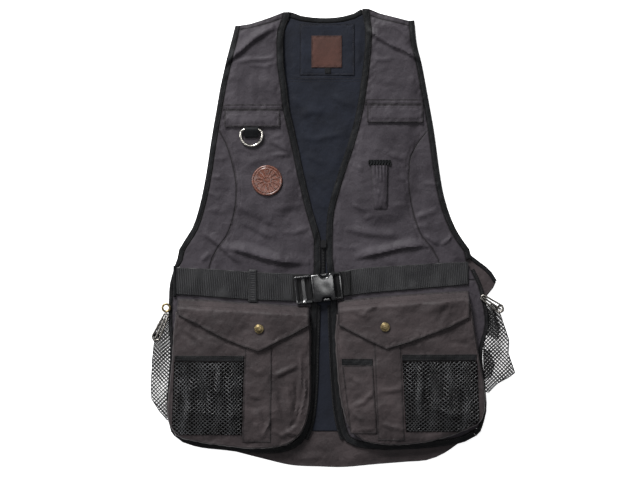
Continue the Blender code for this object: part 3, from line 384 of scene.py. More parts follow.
def within(outline, other, margin):
    """The outline, cut back to lie that far inside another one."""
    rim = [(float(x), float(y)) for x, y in inset(divided(other, 1.5), margin)]
    out = []
    for x, y in divided(outline, 3.0):
        if not inside(rim, np.array([x]), np.array([y]))[0]:
            x, y = min(rim, key=lambda p: math.dist(p, (x, y)))
        if not out or math.dist(out[-1], (x, y)) > 0.5:
            out.append((x, y))
    return out


print("front_left outline:", len(outlines_of("front_left")[0]), "points,",
      len(outlines_of("front_left")), "loop")

# %% Sheets of fine triangles
class Sheet:
    """Fine triangles in one outline, with the distance of each point to the outline."""

    def __init__(self, outlines, pitch, rings=()):
        self.outline = outlines[0]
        points, edges = [], []
        for outline in outlines:
            line = divided(outline, pitch)
            first, count = len(points), len(line)
            points += line
            edges += [(first + i, first + (i + 1) % count) for i in range(count)]
        x, y = np.array(points, float).T
        extra = []
        for depth in rings:
            ring = inset(divided(self.outline, pitch), depth)
            extra += [tuple(p) for p in ring[self.depth_at(*ring.T) > 0.9 * depth]]
        rows = np.arange(y.min(), y.max(), pitch * 0.866)
        grid = np.array([(at + (pitch / 2 if k % 2 else 0.0), row) for k, row in enumerate(rows)
                         for at in np.arange(x.min(), x.max(), pitch)])
        away = self.depth_at(*grid.T)
        for hole in outlines[1:]:
            away = np.minimum(away, distance_to(hole + hole[:1], *grid.T))
        room = (max(rings) if rings else 0.0) + 0.45 * pitch
        free = [tuple(p) for p in grid[(away > room) & inside(self.outline, *grid.T)]]
        places = [Vector(p) for p in points + extra + free]
        flat, _, faces, *_ = delaunay_2d_cdt(places, edges, [], 0, 1e-4)
        self.x, self.y = np.array(flat, float).T
        faces = np.array([tuple(face) for face in faces])
        mid_x, mid_y = self.x[faces].mean(axis=1), self.y[faces].mean(axis=1)
        chosen = inside(self.outline, mid_x, mid_y)
        for hole in outlines[1:]:
            chosen &= ~inside(hole, mid_x, mid_y)
        self.faces = faces[chosen]
        self.depth = self.depth_at(self.x, self.y)
        for hole in outlines[1:]:
            self.depth = np.minimum(self.depth, distance_to(hole + hole[:1], self.x, self.y))

    def depth_at(self, x, y):
        """Distance from each point to the outer outline."""
        return distance_to(self.outline + self.outline[:1], x, y)


def new_piece(name, points, polygons, material, smooth=40.0):
    """A named object from points in mm, with its material."""
    mesh = bpy.data.meshes.new(name)
    mesh.from_pydata([tuple(p) for p in np.array(points, float) * MM], [], polygons)
    mesh.materials.append(material)
    mesh.shade_smooth()
    mesh.set_sharp_from_angle(angle=math.radians(smooth))
    made = bpy.data.objects.new(name, mesh)
    scene.collection.objects.link(made)
    return made


def store(made, name, values):
    """Keep one number for each point of a mesh."""
    kept = made.data.attributes.new(name, "FLOAT", "POINT")
    kept.data.foreach_set("value", np.array(values, float))


def face_outward(made, merge=False):
    """Merge double points if asked, split long faces and turn all faces outward."""
    shape = bmesh.new()
    shape.from_mesh(made.data)
    if merge:
        bmesh.ops.remove_doubles(shape, verts=shape.verts, dist=1e-7)
    bmesh.ops.triangulate(shape, faces=[f for f in shape.faces if len(f.verts) > 4])
    bmesh.ops.recalc_face_normals(shape, faces=shape.faces)
    shape.to_mesh(made.data)
    shape.free()


def closed_shell(name, sheet, low, high, material, dark=1.3):
    """A closed mesh over a sheet, between two heights; painted shade reaches dark mm in from its
    edge.
    """
    used = np.unique(sheet.faces)
    index = np.full(len(sheet.x), -1)
    index[used] = np.arange(len(used))
    faces = index[sheet.faces]
    count = len(used)
    points = np.vstack((np.stack((sheet.x, sheet.y, low), axis=1)[used],
                        np.stack((sheet.x, sheet.y, high), axis=1)[used]))
    halves = np.vstack((faces[:, (0, 1)], faces[:, (1, 2)], faces[:, (2, 0)])).tolist()
    known = {tuple(edge) for edge in halves}
    walls = [(a, b, b + count, a + count) for a, b in halves if (b, a) not in known]
    made = new_piece(name, points, (faces + count).tolist() + faces[:, ::-1].tolist() + walls,
                     material)
    # Painted shade along the edge: 1 at the rim, fading to 0 about dark mm in.
    seam = np.exp(-(sheet.depth[used] / dark)**3)
    store(made, "edge", np.concatenate((seam, seam)))
    return made


def tube_faces(count, wide):
    """Faces of four sides between a number of closed rings, each of the same points."""
    return [(k * wide + i, k * wide + (i + 1) % wide, (k + 1) * wide + (i + 1) % wide,
             (k + 1) * wide + i) for k in range(count - 1) for i in range(wide)]


trial = Sheet(outlines_of("front_left"), 3.0, (1.0, 2.5))
print("a front at 3 mm:", len(trial.x), "points,", len(trial.faces), "triangles")

# %% [markdown]
# ## Swells, folds and creases
# A fold is a line with a crest: the cloth rises slowly on one side and drops fast on the other,
# where the shadow sits. Each one is placed from the photograph, with its own length, width and
# height. Small ripples with fixed random directions keep the cloth between them from looking
# ironed. The fronts lie flat again under the belt, the ring and the whistle pocket.

# %% Heights of the fronts
# A crease: its path from left to right, how far it reaches above and below, and its height
Crease = namedtuple("Crease", "path above below height")
FRONT_CREASES = (
    Crease(((-168, -1), (-159, -11), (-124, -20), (-98, -28), (-66, -35), (-30, -38), (-10, -37)),
           19, 6.8, 7.2),
    Crease(((-197, 22), (-187, 6), (-169, -7), (-155, -20), (-141, -32), (-128, -42)), 13, 5, 4.2),
    Crease(((-138, 32), (-113, 20), (-95, 10), (-70, 4)), 15, 8, 2.8),
    Crease(((-98, 32), (-85, 26), (-70, 20)), 8, 5, 1.3),
    Crease(((-76, 11), (-46, 11), (-20, 23)), 8, 7, 1.7),
    Crease(((-140, 60), (-131, 50), (-122, 41)), 8, 5, 1.7),
    Crease(((-198, -34), (-190, -28), (-182, -19)), 6, 5, 2.2),
    Crease(((-76, 49), (-50, 54), (-27, 56)), 10, 8, 1.3),
    Crease(((-90, -10), (-72, -16), (-54, -23)), 8, 6, 1.3),
    Crease(((-90, 160), (-74, 153), (-51, 137)), 6, 5, 2.4),
    Crease(((-88, 134), (-68, 137), (-50, 136)), 5, 6, 2.0),
    Crease(((-128, 120), (-106, 127), (-82, 132)), 10, 8, 1.2),
    Crease(((-92, 160), (-80, 164), (-66, 170)), 6, 6, 1.2),
    Crease(((-187, 99), (-176, 101), (-162, 99)), 5, 5, 1.5),
    Crease(((-190, 78), (-181, 74), (-166, 66)), 6, 5, 1.4),
    Crease(((-182, 127), (-170, 130), (-154, 130)), 6, 5, 1.2),
    Crease(((-202, 44), (-180, 48), (-152, 44)), 9, 7, 1.3),
    Crease(((-176, 262), (-150, 288), (-130, 304), (-112, 320), (-86, 336), (-58, 344)),
           13, 4.5, 4.8),
    Crease(((-150, 282), (-121, 288), (-96, 289), (-72, 292)), 6, 6, 2.0),
    Crease(((-126, 281), (-94, 277), (-72, 285)), 5, 4, 1.6),
    Crease(((-132, 264), (-116, 246), (-110, 226)), 10, 10, 1.1),
    Crease(((-96, 262), (-86, 250), (-80, 232)), 8, 8, 0.9),
    Crease(((38, -30), (62, -27), (88, -21), (124, -12.5), (156, -9), (182, -12)), 16, 5.2, 5.8),
    Crease(((158, 9), (172, 0), (188, -9)), 8, 5, 3.2),
    Crease(((184, -11), (198, -1), (209, 12)), 7, 5, 3.0),
    Crease(((12, 20), (50, 14), (88, 9), (138, 8)), 12, 9, 2.6),
    Crease(((142, 32), (160, 40), (186, 49)), 9, 7, 2.0),
    Crease(((88, 138), (110, 134), (134, 127)), 10, 8, 1.8),
    Crease(((52, 122), (62, 110), (72, 96)), 5, 5, 1.9),
    Crease(((104, 104), (118, 99), (131, 94)), 7, 5, 1.5),
    Crease(((44, 58), (54, 53), (67, 45)), 6, 5, 1.6),
    Crease(((102, 54), (118, 56), (136, 53)), 7, 6, 1.4),
    Crease(((60, 30), (78, 40), (100, 48)), 7, 6, 1.7),
    Crease(((152, 90), (170, 90), (190, 85)), 6, 5, 1.5),
    Crease(((144, 143), (156, 145), (169, 142)), 5, 5, 1.4),
    Crease(((10, -10), (36, -12), (64, -13)), 8, 6, 1.5),
    Crease(((140, 18), (152, 22), (170, 20)), 6, 5, 1.2),
    Crease(((54, 344), (78, 329), (107, 311), (127, 303), (149, 290), (172, 274)), 12, 4.5, 4.6),
    Crease(((104, 350), (124, 334), (139, 319)), 5, 5, 2.0),
    Crease(((76, 291), (93, 287), (114, 290)), 6, 5, 1.5),
    Crease(((138, 264), (146, 255), (157, 243)), 6, 6, 1.2),
    Crease(((78, 262), (96, 254), (124, 250)), 9, 8, 1.0),
)
# A swell of the chest: a line, how far it reaches, how far it is flat, and its height
Swell = namedtuple("Swell", "x0 y0 x1 y1 half flat height")
SWELLS = (Swell(-106, 300, -98, 80, 62, 34, 4.0), Swell(104, 304, 92, 80, 62, 34, 4.0))
# Places that stay flat: centre, reach in x and in y
QUIET = ((-116, 170, 26, 27), (89, 88, 27, 47), (-1, -10, 12, 24))
BELT_TOP = ((-237, -44), (-190, -46), (-118, -51), (-50, -54), (14, -53), (46, -47), (122, -41),
            (186, -37), (231, -35))
FRONT_LOW = 3.1
CLOTH, GAP, TRIM, BINDING = 1.5, 0.3, 1.2, 2.0
RIPPLE_WAVES = 9
CREASE_END = 0.3  # share of its length over which a crease dies out


def ease(value):
    """Ease from 0 to 1."""
    value = np.clip(value, 0.0, 1.0)
    return value * value * (3.0 - 2.0 * value)


def crease_height(crease, x, y):
    """Height that one crease adds at each point; it dies out towards its two ends."""
    best, side, along = np.full(x.shape, 1e9), np.zeros(x.shape), np.zeros(x.shape)
    run = 0.0
    for (x0, y0), (x1, y1) in zip(crease.path, crease.path[1:]):
        dx, dy = x1 - x0, y1 - y0
        length = math.hypot(dx, dy)
        t = np.clip(((x - x0) * dx + (y - y0) * dy) / length**2, 0, 1)
        away = np.hypot(x - x0 - t * dx, y - y0 - t * dy)
        nearer = away < best
        best = np.where(nearer, away, best)
        side = np.where(nearer, dx * (y - y0) - dy * (x - x0), side)
        along = np.where(nearer, run + t * length, along)
        run += length
    reach = np.where(side > 0, crease.above, crease.below)
    ends = ease(np.minimum(along, run - along) / (CREASE_END * run))
    return crease.height * ease(1 - best / reach) * ends


def creased(creases, x, y):
    """Height that several creases add together."""
    return sum(crease_height(crease, x, y) for crease in creases)


def ripple(x, y, seed, wave, height):
    """Uneven cloth: a few long waves in fixed random directions."""
    dice = np.random.default_rng(seed)
    total = np.zeros(np.shape(x))
    for _ in range(RIPPLE_WAVES):
        turn, start, stretch = dice.uniform(0, 2 * math.pi, 2).tolist() + [dice.uniform(0.6, 1.5)]
        along = x * math.cos(turn) + y * math.sin(turn)
        total += np.sin(2 * math.pi * along / (wave * stretch) + start)
    return height * total / math.sqrt(RIPPLE_WAVES)


def front_low(x, y):
    """Underside of the fronts over the layers below."""
    x, y = np.asarray(x, float), np.asarray(y, float)
    height = np.zeros(x.shape)
    for swell in SWELLS:
        away = distance_to(((swell.x0, swell.y0), (swell.x1, swell.y1)), x, y)
        height += swell.height * ease((swell.half - away) / (swell.half - swell.flat))
    loose = ripple(x, y, 3, 66.0, 0.9) + ripple(x, y, 4, 24.0, 0.3)
    for crease in FRONT_CREASES:
        loose += crease_height(crease, x, y)
    for cx, cy, rx, ry in QUIET:
        loose *= ease((np.hypot((x - cx) / rx, (y - cy) / ry) - 1.0) * 3.0)
    belt = np.interp(x, *np.array(BELT_TOP, float).T)
    loose *= ease((y - belt - 0.5) / 6.0)
    return FRONT_LOW + np.maximum(height * ease((y + 42.0) / 12.0) + loose, 0.0)


def over(height, rise):
    """The same height, moved up."""
    return lambda x, y: height(x, y) + rise


def level(height):
    """A flat height."""
    return lambda x, y: np.full(np.shape(x), float(height))


crest = front_low(np.array([-98.0, 88.0]), np.array([-28.0, -21.0]))
print("crests of the waist folds, mm:", crest.round(1))

# %% [markdown]
# ## Sewing
# A sewn edge has a rolled rim and a shallow valley where each row of stitches pulls the cloth
# down. It also notes the path of every row of stitches.

# %% One cloth piece
STITCH_VALLEY = 0.38
STITCH_LIFT = 0.1
SEAM_CLOSE = 0.13
cut_of = {}
stitch_paths = []


def edge_dip(depth, roll, radius, rows):
    """How far a top sinks at its rolled rim and along its rows of stitches."""
    dip = roll * (1 - np.sqrt(1 - (1 - np.clip(depth / radius, 0, 1))**2))
    for row in rows:
        dip = dip + STITCH_VALLEY * np.exp(-((depth - row) / 0.9)**2)
    return dip


def note_stitches(path, high, keep=None):
    """Keep the path of a row of stitches on a surface, where keep allows it."""
    x, y = np.array(path, float).T
    z = high(x, y) + STITCH_LIFT
    good = np.ones(len(x), bool) if keep is None else keep(x, y)
    run = []
    for point, fine in zip(zip(x, y, z), good):
        if fine:
            run.append(point)
        if run and not fine:
            if len(run) > 1:
                stitch_paths.append(run)
            run = []
    if len(run) > 1:
        stitch_paths.append(run)


def hang(piece, slot, *nodes, body="vest"):
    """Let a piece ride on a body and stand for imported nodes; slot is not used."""
    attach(piece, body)
    if nodes:
        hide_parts(*nodes)


def declare(piece, slot, nodes, area, narrow):
    """Hang a cloth piece on the vest and state the flat cut of what shows."""
    hang(piece, slot, *nodes)
    cut_of[piece.name] = (round(narrow), round(area / narrow), round(area))


def top_area(sheet, high):
    """Area of a top, folds included, in square mm."""
    corners = np.stack((sheet.x, sheet.y, high), axis=1)[sheet.faces]
    return 0.5 * np.linalg.norm(np.cross(corners[:, 1] - corners[:, 0],
                                         corners[:, 2] - corners[:, 0]), axis=1).sum()


def pucker(x, y, depth, row):
    """Small gathers that a row of stitches pulls into the cloth beside it."""
    return 0.32 * ripple(x, y, 17, 9.0, 1.0) * np.exp(-((depth - row) / 2.6)**2)


def sew(node, low, high, material, slot, narrow, pitch=3.2, roll=0.5, radius=1.6,
        rows=(), keep=None, extra=None, shape=None, dark=1.3):
    """Replace a CAD cloth node by a fine piece with rolled edges and rows of stitches."""
    outlines = outlines_of(node)
    if shape is not None:
        outlines[0] = shape(outlines[0])
    outlines[0] = [(float(x), float(y)) for x, y in inset(outlines[0], -SEAM_CLOSE)]
    rings = sorted({radius * 0.3, radius, *[r for row in rows for r in (row, row + 1.2)]})
    sheet = Sheet(outlines, pitch, rings)
    dip = edge_dip(sheet.depth, roll, radius, rows)
    tops = high(sheet.x, sheet.y) - dip
    for row in rows:
        tops = tops + pucker(sheet.x, sheet.y, sheet.depth, row)
    if extra is not None:
        tops = tops + extra(sheet.x, sheet.y, sheet.depth)
    lows = np.minimum(low(sheet.x, sheet.y), tops - 0.25)
    piece = closed_shell(node + "_cloth", sheet, lows, tops, material, dark)
    declare(piece, slot, [node], top_area(sheet, tops), narrow)
    line = divided(sheet.outline, 2.5)
    for row in rows:
        path = inset(line, row)
        away = sheet.depth_at(*path.T)
        good = (away > 0.93 * row) & inside(sheet.outline, *path.T)
        if keep is not None:
            good &= keep(*path.T)
        note_stitches(path.tolist(), over(high, -STITCH_VALLEY),
                      lambda x, y, good=good: good)
    return piece


print("sewing ready")

# %% [markdown]
# ## Back panel, lining and neck
# The back is one panel, seen at the hem and from behind. Its underside lies on the table, so
# its creases are shallow troughs pressed up into the cloth. The lining shows in the neck: a
# navy cloth with a seam across the yoke, a stitched patch and a plain brown woven label.

# %% Back, lining, patch and label
OPENING = ((-60, 4, 3), (0, 5, 3), (50, 19, 6.5), (110, 33, 23.5), (176, 47, 44.5), (245, 59, 58),
           (312, 65, 65.5), (366, 63, 65))
LINING_CREASES = (
    Crease(((-60, 262), (-20, 259), (22, 262), (60, 264)), 5, 4, 1.1),
    Crease(((-56, 232), (-34, 214), (-24, 190)), 9, 8, 1.6),
    Crease(((-44, 196), (-22, 206), (6, 204)), 10, 8, 1.2),
    Crease(((10, 236), (30, 220), (52, 214)), 10, 8, 1.4),
    Crease(((-40, 168), (-14, 160), (18, 168), (38, 172)), 9, 7, 1.5),
    Crease(((-34, 136), (-16, 130), (6, 118)), 8, 7, 1.3),
    Crease(((-26, 108), (-10, 96), (2, 78)), 7, 6, 1.2),
    Crease(((-18, 66), (-8, 60), (2, 46)), 5, 5, 0.9),
    Crease(((-52, 300), (-46, 282), (-48, 268)), 6, 5, 1.0),
    Crease(((52, 332), (56, 300), (54, 276)), 6, 5, 1.1),
)


def lining_rise(x, y):
    """Soft creases of the lining, only where the fronts leave it free."""
    x, y = np.asarray(x, float), np.asarray(y, float)
    rows = np.array(OPENING, float).T
    left, right = np.interp(y, rows[0], rows[1]), np.interp(y, rows[0], rows[2])
    free = ease((np.minimum(x + left, right - x) + 1.0) / 10.0) * ease((y - 10.0) / 30.0)
    rise = 0.5 + ripple(x, y, 8, 48.0, 0.35)
    for crease in LINING_CREASES:
        rise += crease_height(crease, x, y)
    return np.maximum(rise, 0.0) * free * ease((352.0 - y) / 10.0)


def lining_layer(height):
    """A level of the lining with its creases."""
    return lambda x, y: height + lining_rise(x, y)


BACK_CREASES = (
    Crease(((-170, 250), (-60, 214), (40, 236), (150, 224)), 26, 18, 0.8),
    Crease(((-150, 120), (-60, 96), (30, 60)), 24, 16, 0.8),
    Crease(((40, 150), (96, 110), (160, 96)), 22, 16, 0.7),
    Crease(((-180, -20), (-70, -46), (60, -30), (190, -60)), 20, 12, 0.9),
    Crease(((-150, -140), (-40, -190), (20, -240)), 26, 18, 0.7),
    Crease(((60, -130), (120, -200), (190, -230)), 24, 16, 0.8),
    Crease(((-200, -290), (-90, -312), (40, -300), (160, -318)), 20, 12, 0.7),
)
TROUGH = 0.9


def back_low(x, y):
    """Underside of the back: troughs pressed up into the cloth."""
    return np.clip(creased(BACK_CREASES, x, y), 0.0, TROUGH)


HEM_CREASES = (
    Crease(((-60, -344), (-30, -352), (4, -344)), 9, 7, 1.6),
    Crease(((-24, -322), (2, -330), (24, -322)), 8, 7, 1.0),
    Crease(((30, -356), (56, -346), (84, -350)), 7, 6, 1.2),
    Crease(((-18, -310), (2, -336), (20, -362)), 8, 3, 2.6),
    Crease(((-108, -326), (-92, -340), (-72, -358)), 5, 3, 1.3),
    Crease(((96, -340), (136, -336), (178, -330)), 6, 4, 1.2),
)
HEM_FREE, HEM_STITCHED = -314.0, -300.0


def hem_rise(x, y, depth):
    """Loose folds of the back's hem, between and below the fronts."""
    free = 1.2 + 2.0 * ease((60.0 - abs(x)) / 30.0)
    folds = np.minimum(creased(HEM_CREASES, x, y), free)
    return folds * ease(depth / 4.0) * ease((HEM_FREE - y) / 8.0)


def on_hem(_, y):
    """The part of an outline that is the hem."""
    return y < HEM_STITCHED


# Bindings that run on past their CAD end: the two corners there, and the points between them
RUNS = {
    "arm_binding_left": ((-234.8, -29.9), (-226.3, -31.6), ((-240.5, -45.2), (-234.9, -46.9))),
    "neck_binding": ((-52.2, 364.7), (-54.3, 355.8), ((-57.8, 365.6), (-59.6, 357.6))),
    "side_binding_left": ((-246.8, -299.8), (-241.3, -298.5),
                          ((-245.0, -306.6), (-239.4, -313.9), (-233.0, -306.0), (-238.2, -302.6))),
    "side_binding_right": ((253.1, -299.8), (247.7, -298.1),
                           ((250.6, -306.6), (243.4, -313.9), (238.2, -305.0), (244.4, -301.8))),
}


def run_on(outline, first, last, more):
    """An outline with more points between two neighbouring corners of it."""
    near = [min(range(len(outline)), key=lambda i: math.dist(outline[i], corner))
            for corner in (first, last)]
    more = list(more)
    if (near[0] + 1) % len(outline) != near[1]:
        near, more = near[::-1], more[::-1]
    return outline[near[0] + 1:] + outline[:near[0] + 1] + more


# The back's free corner runs on under its binding to a point
CORNER = ((271, -77), (275.3, -67.6), (266.5, -54), (258, -45), (234, -27.3), (226.5, -18.5))


def with_corner(outline):
    """The back's outline with its free corner."""
    first = next(i for i, (x, y) in enumerate(outline) if x > 225 and -77 < y < -20)
    kept = [p for p in outline[first:] + outline[:first] if not (p[0] > 225 and -77 < p[1] < -20)]
    return list(CORNER) + kept


sew("back_panel", back_low, level(CLOTH), POCKET, "pocket_cloth", 470, pitch=6.5,
    rows=(3.0, 11.0), keep=on_hem, extra=hem_rise, shape=with_corner)
sew("lining", level(1.8), lining_layer(2.8), LINING, "lining_cloth", 150,
    pitch=3.6)
sew("neck_patch", lining_layer(3.1), lining_layer(4.1), LINING, "lining_cloth", 82,
    pitch=3.4, rows=(2.0,))
sew("neck_label", lining_layer(4.4), lining_layer(5.4), LABEL, "woven_label", 48,
    pitch=2.4, rows=(2.2,))
sew("size_tab", lining_layer(4.4), lining_layer(4.9), TAPE, "binding", 9,
    pitch=2.4, roll=0.2, radius=0.8)
sew("neck_binding", level(1.8), lambda x, y: 3.8 - 0.8 * ease((-53.0 - x) / 2.0), TAPE,
    "binding", 8, roll=0.9, radius=2.6, rows=(6.2,),
    shape=lambda outline: run_on(outline, *RUNS["neck_binding"]))
sew("corner_binding", level(1.8), level(2.8), TAPE, "binding", 6,
    roll=0.5, radius=2.0)
note_stitches([(x, 258.5) for x in np.arange(-58, 58, 2.5)], lining_layer(2.8))
note_stitches([(x, 254.0) for x in np.arange(-57, 57, 2.5)], lining_layer(2.8))
print("inside done:", {name: cut_of[name] for name in ("lining_cloth", "neck_label_cloth")})

# %% [markdown]
# ## Fronts
# Each half is a front, a side panel beyond the curved princess seam, a shoulder strip and woven
# bindings round every edge. A binding is one long tape, so it runs on round the lower corners
# and down to the belt. On the chest a stitched strip covers the top of a pocket flap, and the
# flap stands a little proud along its free edge, which casts its dark line; a wider band of
# painted shade along the edges of the strip and the flap darkens that line.

# %% Both halves
FLAP_ROWS = {"left": (181.0, 208.0), "right": (188.0, 216.6)}
FLAP_LIFT = 1.9


def lifted(side):
    """Underside of a chest flap, raised at its free edge and more over the ring's webbing."""
    low, high = FLAP_ROWS[side]

    def height(x, y):
        lift = FLAP_LIFT + (1.5 * np.exp(-((x + 116.0) / 17.0)**4) if side == "left" else 0.0)
        return front_low(x, y) + CLOTH + GAP + lift * ease((high - y) / (high - low) * 1.25)
    return height


def squared(outline):
    """A chest flap's outline with square corners."""
    x, y = zip(*outline)
    return [(min(x), min(y)), (max(x), min(y)), (max(x), max(y)), (min(x), max(y))]


def near_princess(side):
    """The part of a front's outline that is the princess seam."""
    seam = outlines_of("side_panel_" + side)[0]
    return lambda x, y: (distance_to(seam + seam[:1], x, y) < 9.0) & (y > -34)


front_top = over(front_low, CLOTH)
cover = over(front_low, CLOTH + GAP)
for side in SIDES:
    sew("front_" + side, front_low, front_top, SHELL, "shell_cloth", 190,
        pitch=3.0, roll=0.8, radius=2.2, rows=(2.0, 6.5), keep=near_princess(side))
    sew("side_panel_" + side, front_low, front_top, SHELL, "shell_cloth", 60,
        pitch=3.0, roll=0.8, radius=2.2)
    sew("shoulder_" + side, level(1.8), front_top, SHELL, "shell_cloth", 9,
        roll=0.9, radius=2.4, rows=(2.4,))
    for part, width in (("arm_binding", 9), ("front_binding", 10.5), ("side_binding", 6)):
        name = f"{part}_{side}"
        shape = (lambda outline, run=RUNS[name]: run_on(outline, *run)) if name in RUNS else None
        sew(name, front_low, over(front_low, BINDING), TAPE, "binding", width,
            roll=1.0, radius=2.6, rows=(2.0,), shape=shape)
    sew("zip_tape_" + side, front_low, over(front_low, TRIM), TAPE, "zip", 5,
        roll=0.3, radius=1.0)
    # The strip and the flap take a wider band of painted shade along their edges.
    sew("chest_strip_" + side, cover, over(cover, TRIM), SHELL, "shell_cloth", 8.6,
        roll=0.6, radius=1.4, rows=(2.0,), dark=2.0)
    flap = lifted(side)
    low, high = FLAP_ROWS[side]
    sew("chest_flap_" + side, flap, over(flap, CLOTH), SHELL, "shell_cloth", 27,
        pitch=2.6, roll=0.45, radius=0.9, rows=(1.8, 5.4),
        keep=lambda x, y, high=high: y < high - 1.0, shape=squared, dark=2.2)
print("fronts done:", cut_of["front_left_cloth"], cut_of["front_right_cloth"])

# %% [markdown]
# ## Pockets
# The big pockets are bellows pockets: a gusset stands up round the edge and carries a crowned
# face. A placket, a net pocket with its elastic top and, on the right, a small flat pocket are
# sewn on the face. The pointed flap starts under the belt and falls over the pocket's mouth.

# %% Heights of the pockets
GUSSET_LOW = 5.4
FACE_LOW = 16.7
CROWN, CROWN_REACH = 5.0, 60.0
MOUTH = {"left": ((-24.5, -127), (-235, -115)), "right": ((22.5, -119), (232.5, -102))}
FLAP_TOP = {"left": ((-233.5, -94), (-104, -101), (-24.5, -106)),
            "right": ((22.5, -98), (99, -90), (231, -81))}
SNAP = {"left": (-103.0, -141.0), "right": (97.0, -138.0)}
POCKET_DEPTH = 1.35
SNAP_FLAT = 9.0
FLAP_RUN, FLAP_CLEAR = 16.0, 3.3
POCKET_CREASES = (
    Crease(((-226, -142), (-214, -148), (-190, -166)), 7, 6, 1.6),
    Crease(((-230, -150), (-216, -164), (-204, -184)), 8, 7, 1.6),
    Crease(((-84, -219), (-62, -209), (-40, -199)), 7, 5, 2.2),
    Crease(((-74, -232), (-69, -258), (-61, -290)), 7, 7, -2.0),
    Crease(((-60, -228), (-56, -250), (-50, -276)), 5, 5, 1.5),
    Crease(((-38, -176), (-36, -210), (-37, -246)), 4, 4, 1.8),
    Crease(((-45, -214), (-44, -250), (-50, -292)), 4, 4, -1.8),
    Crease(((-31, -206), (-29, -238), (-33, -262), (-42, -292)), 4, 4, 2.0),
    Crease(((-38, -262), (-43, -284), (-56, -304)), 4, 4, -1.6),
    Crease(((-62, -300), (-54, -308), (-40, -312)), 5, 4, 1.9),
    Crease(((-84, -300), (-70, -310), (-58, -318)), 5, 5, 1.4),
    Crease(((-124, -202), (-110, -207), (-96, -216)), 7, 6, 1.2),
    Crease(((-124, -244), (-108, -250), (-92, -250)), 7, 6, 1.1),
    Crease(((-126, -262), (-112, -268), (-98, -264)), 5, 5, -0.9),
    Crease(((-101, -270), (-97, -280), (-91, -298)), 4, 4, -1.5),
    Crease(((-112, -288), (-107, -298), (-98, -316)), 4, 4, 1.5),
    Crease(((-101, -320), (-92, -302), (-85, -284)), 4, 4, 1.5),
    Crease(((-70, -312), (-56, -306), (-42, -296)), 6, 5, 1.6),
    Crease(((-162, -198), (-168, -226), (-170, -262)), 8, 8, 1.9),
    Crease(((-178, -204), (-187, -250), (-180, -304)), 8, 8, -2.0),
    Crease(((-204, -206), (-212, -250), (-214, -292)), 9, 8, 1.7),
    Crease(((-146, -208), (-149, -250), (-144, -300)), 7, 7, 1.3),
    Crease(((-232, -200), (-230, -240), (-238, -290)), 6, 5, 1.2),
    Crease(((-150, -108), (-136, -122), (-124, -142)), 9, 8, 0.9),
    Crease(((-64, -110), (-50, -122), (-34, -132)), 8, 7, 0.9),
    Crease(((-232, -102), (-222, -100), (-208, -100)), 4, 4, 0.7),
    Crease(((58, -121), (72, -110), (86, -101)), 6, 6, 1.8),
    Crease(((44, -112), (60, -120), (80, -124)), 7, 6, 1.1),
    Crease(((146, -120), (176, -108), (212, -95)), 14, 12, 1.8),
    Crease(((176, -136), (188, -116), (200, -94)), 8, 8, -1.3),
    Crease(((40, -118), (50, -126), (58, -138)), 5, 5, 0.8),
    Crease(((156, -160), (160, -170), (167, -186)), 6, 6, -1.4),
    Crease(((190, -164), (212, -163), (236, -167)), 5, 5, -1.2),
    Crease(((44, -266), (62, -258), (82, -238)), 6, 6, 2.0),
    Crease(((42, -274), (52, -280), (64, -290)), 6, 5, 1.5),
    Crease(((36, -212), (46, -220), (60, -232)), 6, 6, 1.2),
    Crease(((50, -300), (66, -302), (84, -299)), 5, 5, 1.2),
    Crease(((84, -238), (104, -240), (126, -235)), 6, 5, 1.3),
    Crease(((86, -290), (104, -296), (126, -301)), 6, 5, 1.7),
    Crease(((96, -298), (97, -308), (99, -318)), 4, 4, 1.0),
    Crease(((109, -300), (109, -310), (111, -320)), 4, 4, -1.1),
    Crease(((138, -196), (139, -240), (146, -290)), 6, 6, 1.4),
    Crease(((153, -194), (155, -224), (152, -262)), 8, 8, 2.1),
    Crease(((170, -194), (172, -226), (168, -262)), 8, 8, -2.0),
    Crease(((194, -194), (193, -228), (200, -266)), 9, 9, 2.2),
    Crease(((216, -194), (218, -230), (222, -280)), 8, 8, -1.8),
    Crease(((176, -264), (196, -276), (226, -270)), 9, 8, 1.3),
)


class PocketHeights:
    """Heights of one pocket, from its wall, its mouth and its creases."""

    def __init__(self, side):
        self.side = side
        outline = outlines_of("pocket_face_" + side)[0]
        start, end = MOUTH[side]
        x, y = np.array(outline, float).T
        on_mouth = distance_to((start, end), x, y) < 0.8
        first = next(i for i in range(len(outline)) if on_mouth[i - 1] and not on_mouth[i])
        turned = outline[first:] + outline[:first]
        flags = list(on_mouth[first:]) + list(on_mouth[:first])
        inner = [p for p, flag in zip(turned, flags) if not flag]
        ends = sorted((start, end), key=lambda p: math.dist(p, inner[0]))
        self.wall = [ends[0]] + inner + [ends[1]]

    def face_low(self, x, y):
        """Underside of the face, crowned away from the gusset."""
        x, y = np.asarray(x, float), np.asarray(y, float)
        away = distance_to(self.wall, x, y)
        loose = ripple(x, y, 12, 46.0, 0.9) + ripple(x, y, 13, 19.0, 0.3)
        for crease in POCKET_CREASES:
            loose += POCKET_DEPTH * crease_height(crease, x, y)
        cx, cy = SNAP[self.side]
        loose *= ease((np.hypot(x - cx, y - cy) - SNAP_FLAT) / 8.0) * ease((away + 2.5) / 9.0)
        return FACE_LOW + CROWN * ease(away / CROWN_REACH) + loose

    def flap_low(self, x, y):
        """Underside of the flap, from its seam on the front to above the mouth."""
        seam = np.interp(x, *np.array(FLAP_TOP[self.side], float).T)
        share = ease((seam - y) / FLAP_RUN)
        return GUSSET_LOW * (1 - share) + (self.face_low(x, y) + FLAP_CLEAR) * share


heights = {side: PocketHeights(side) for side in SIDES}
print("wall of the left pocket:", len(heights["left"].wall), "points")

# %% Gusset
GUSSET_WALL = 1.5
GUSSET_STEPS = 8
GUSSET_BULGE = 2.3


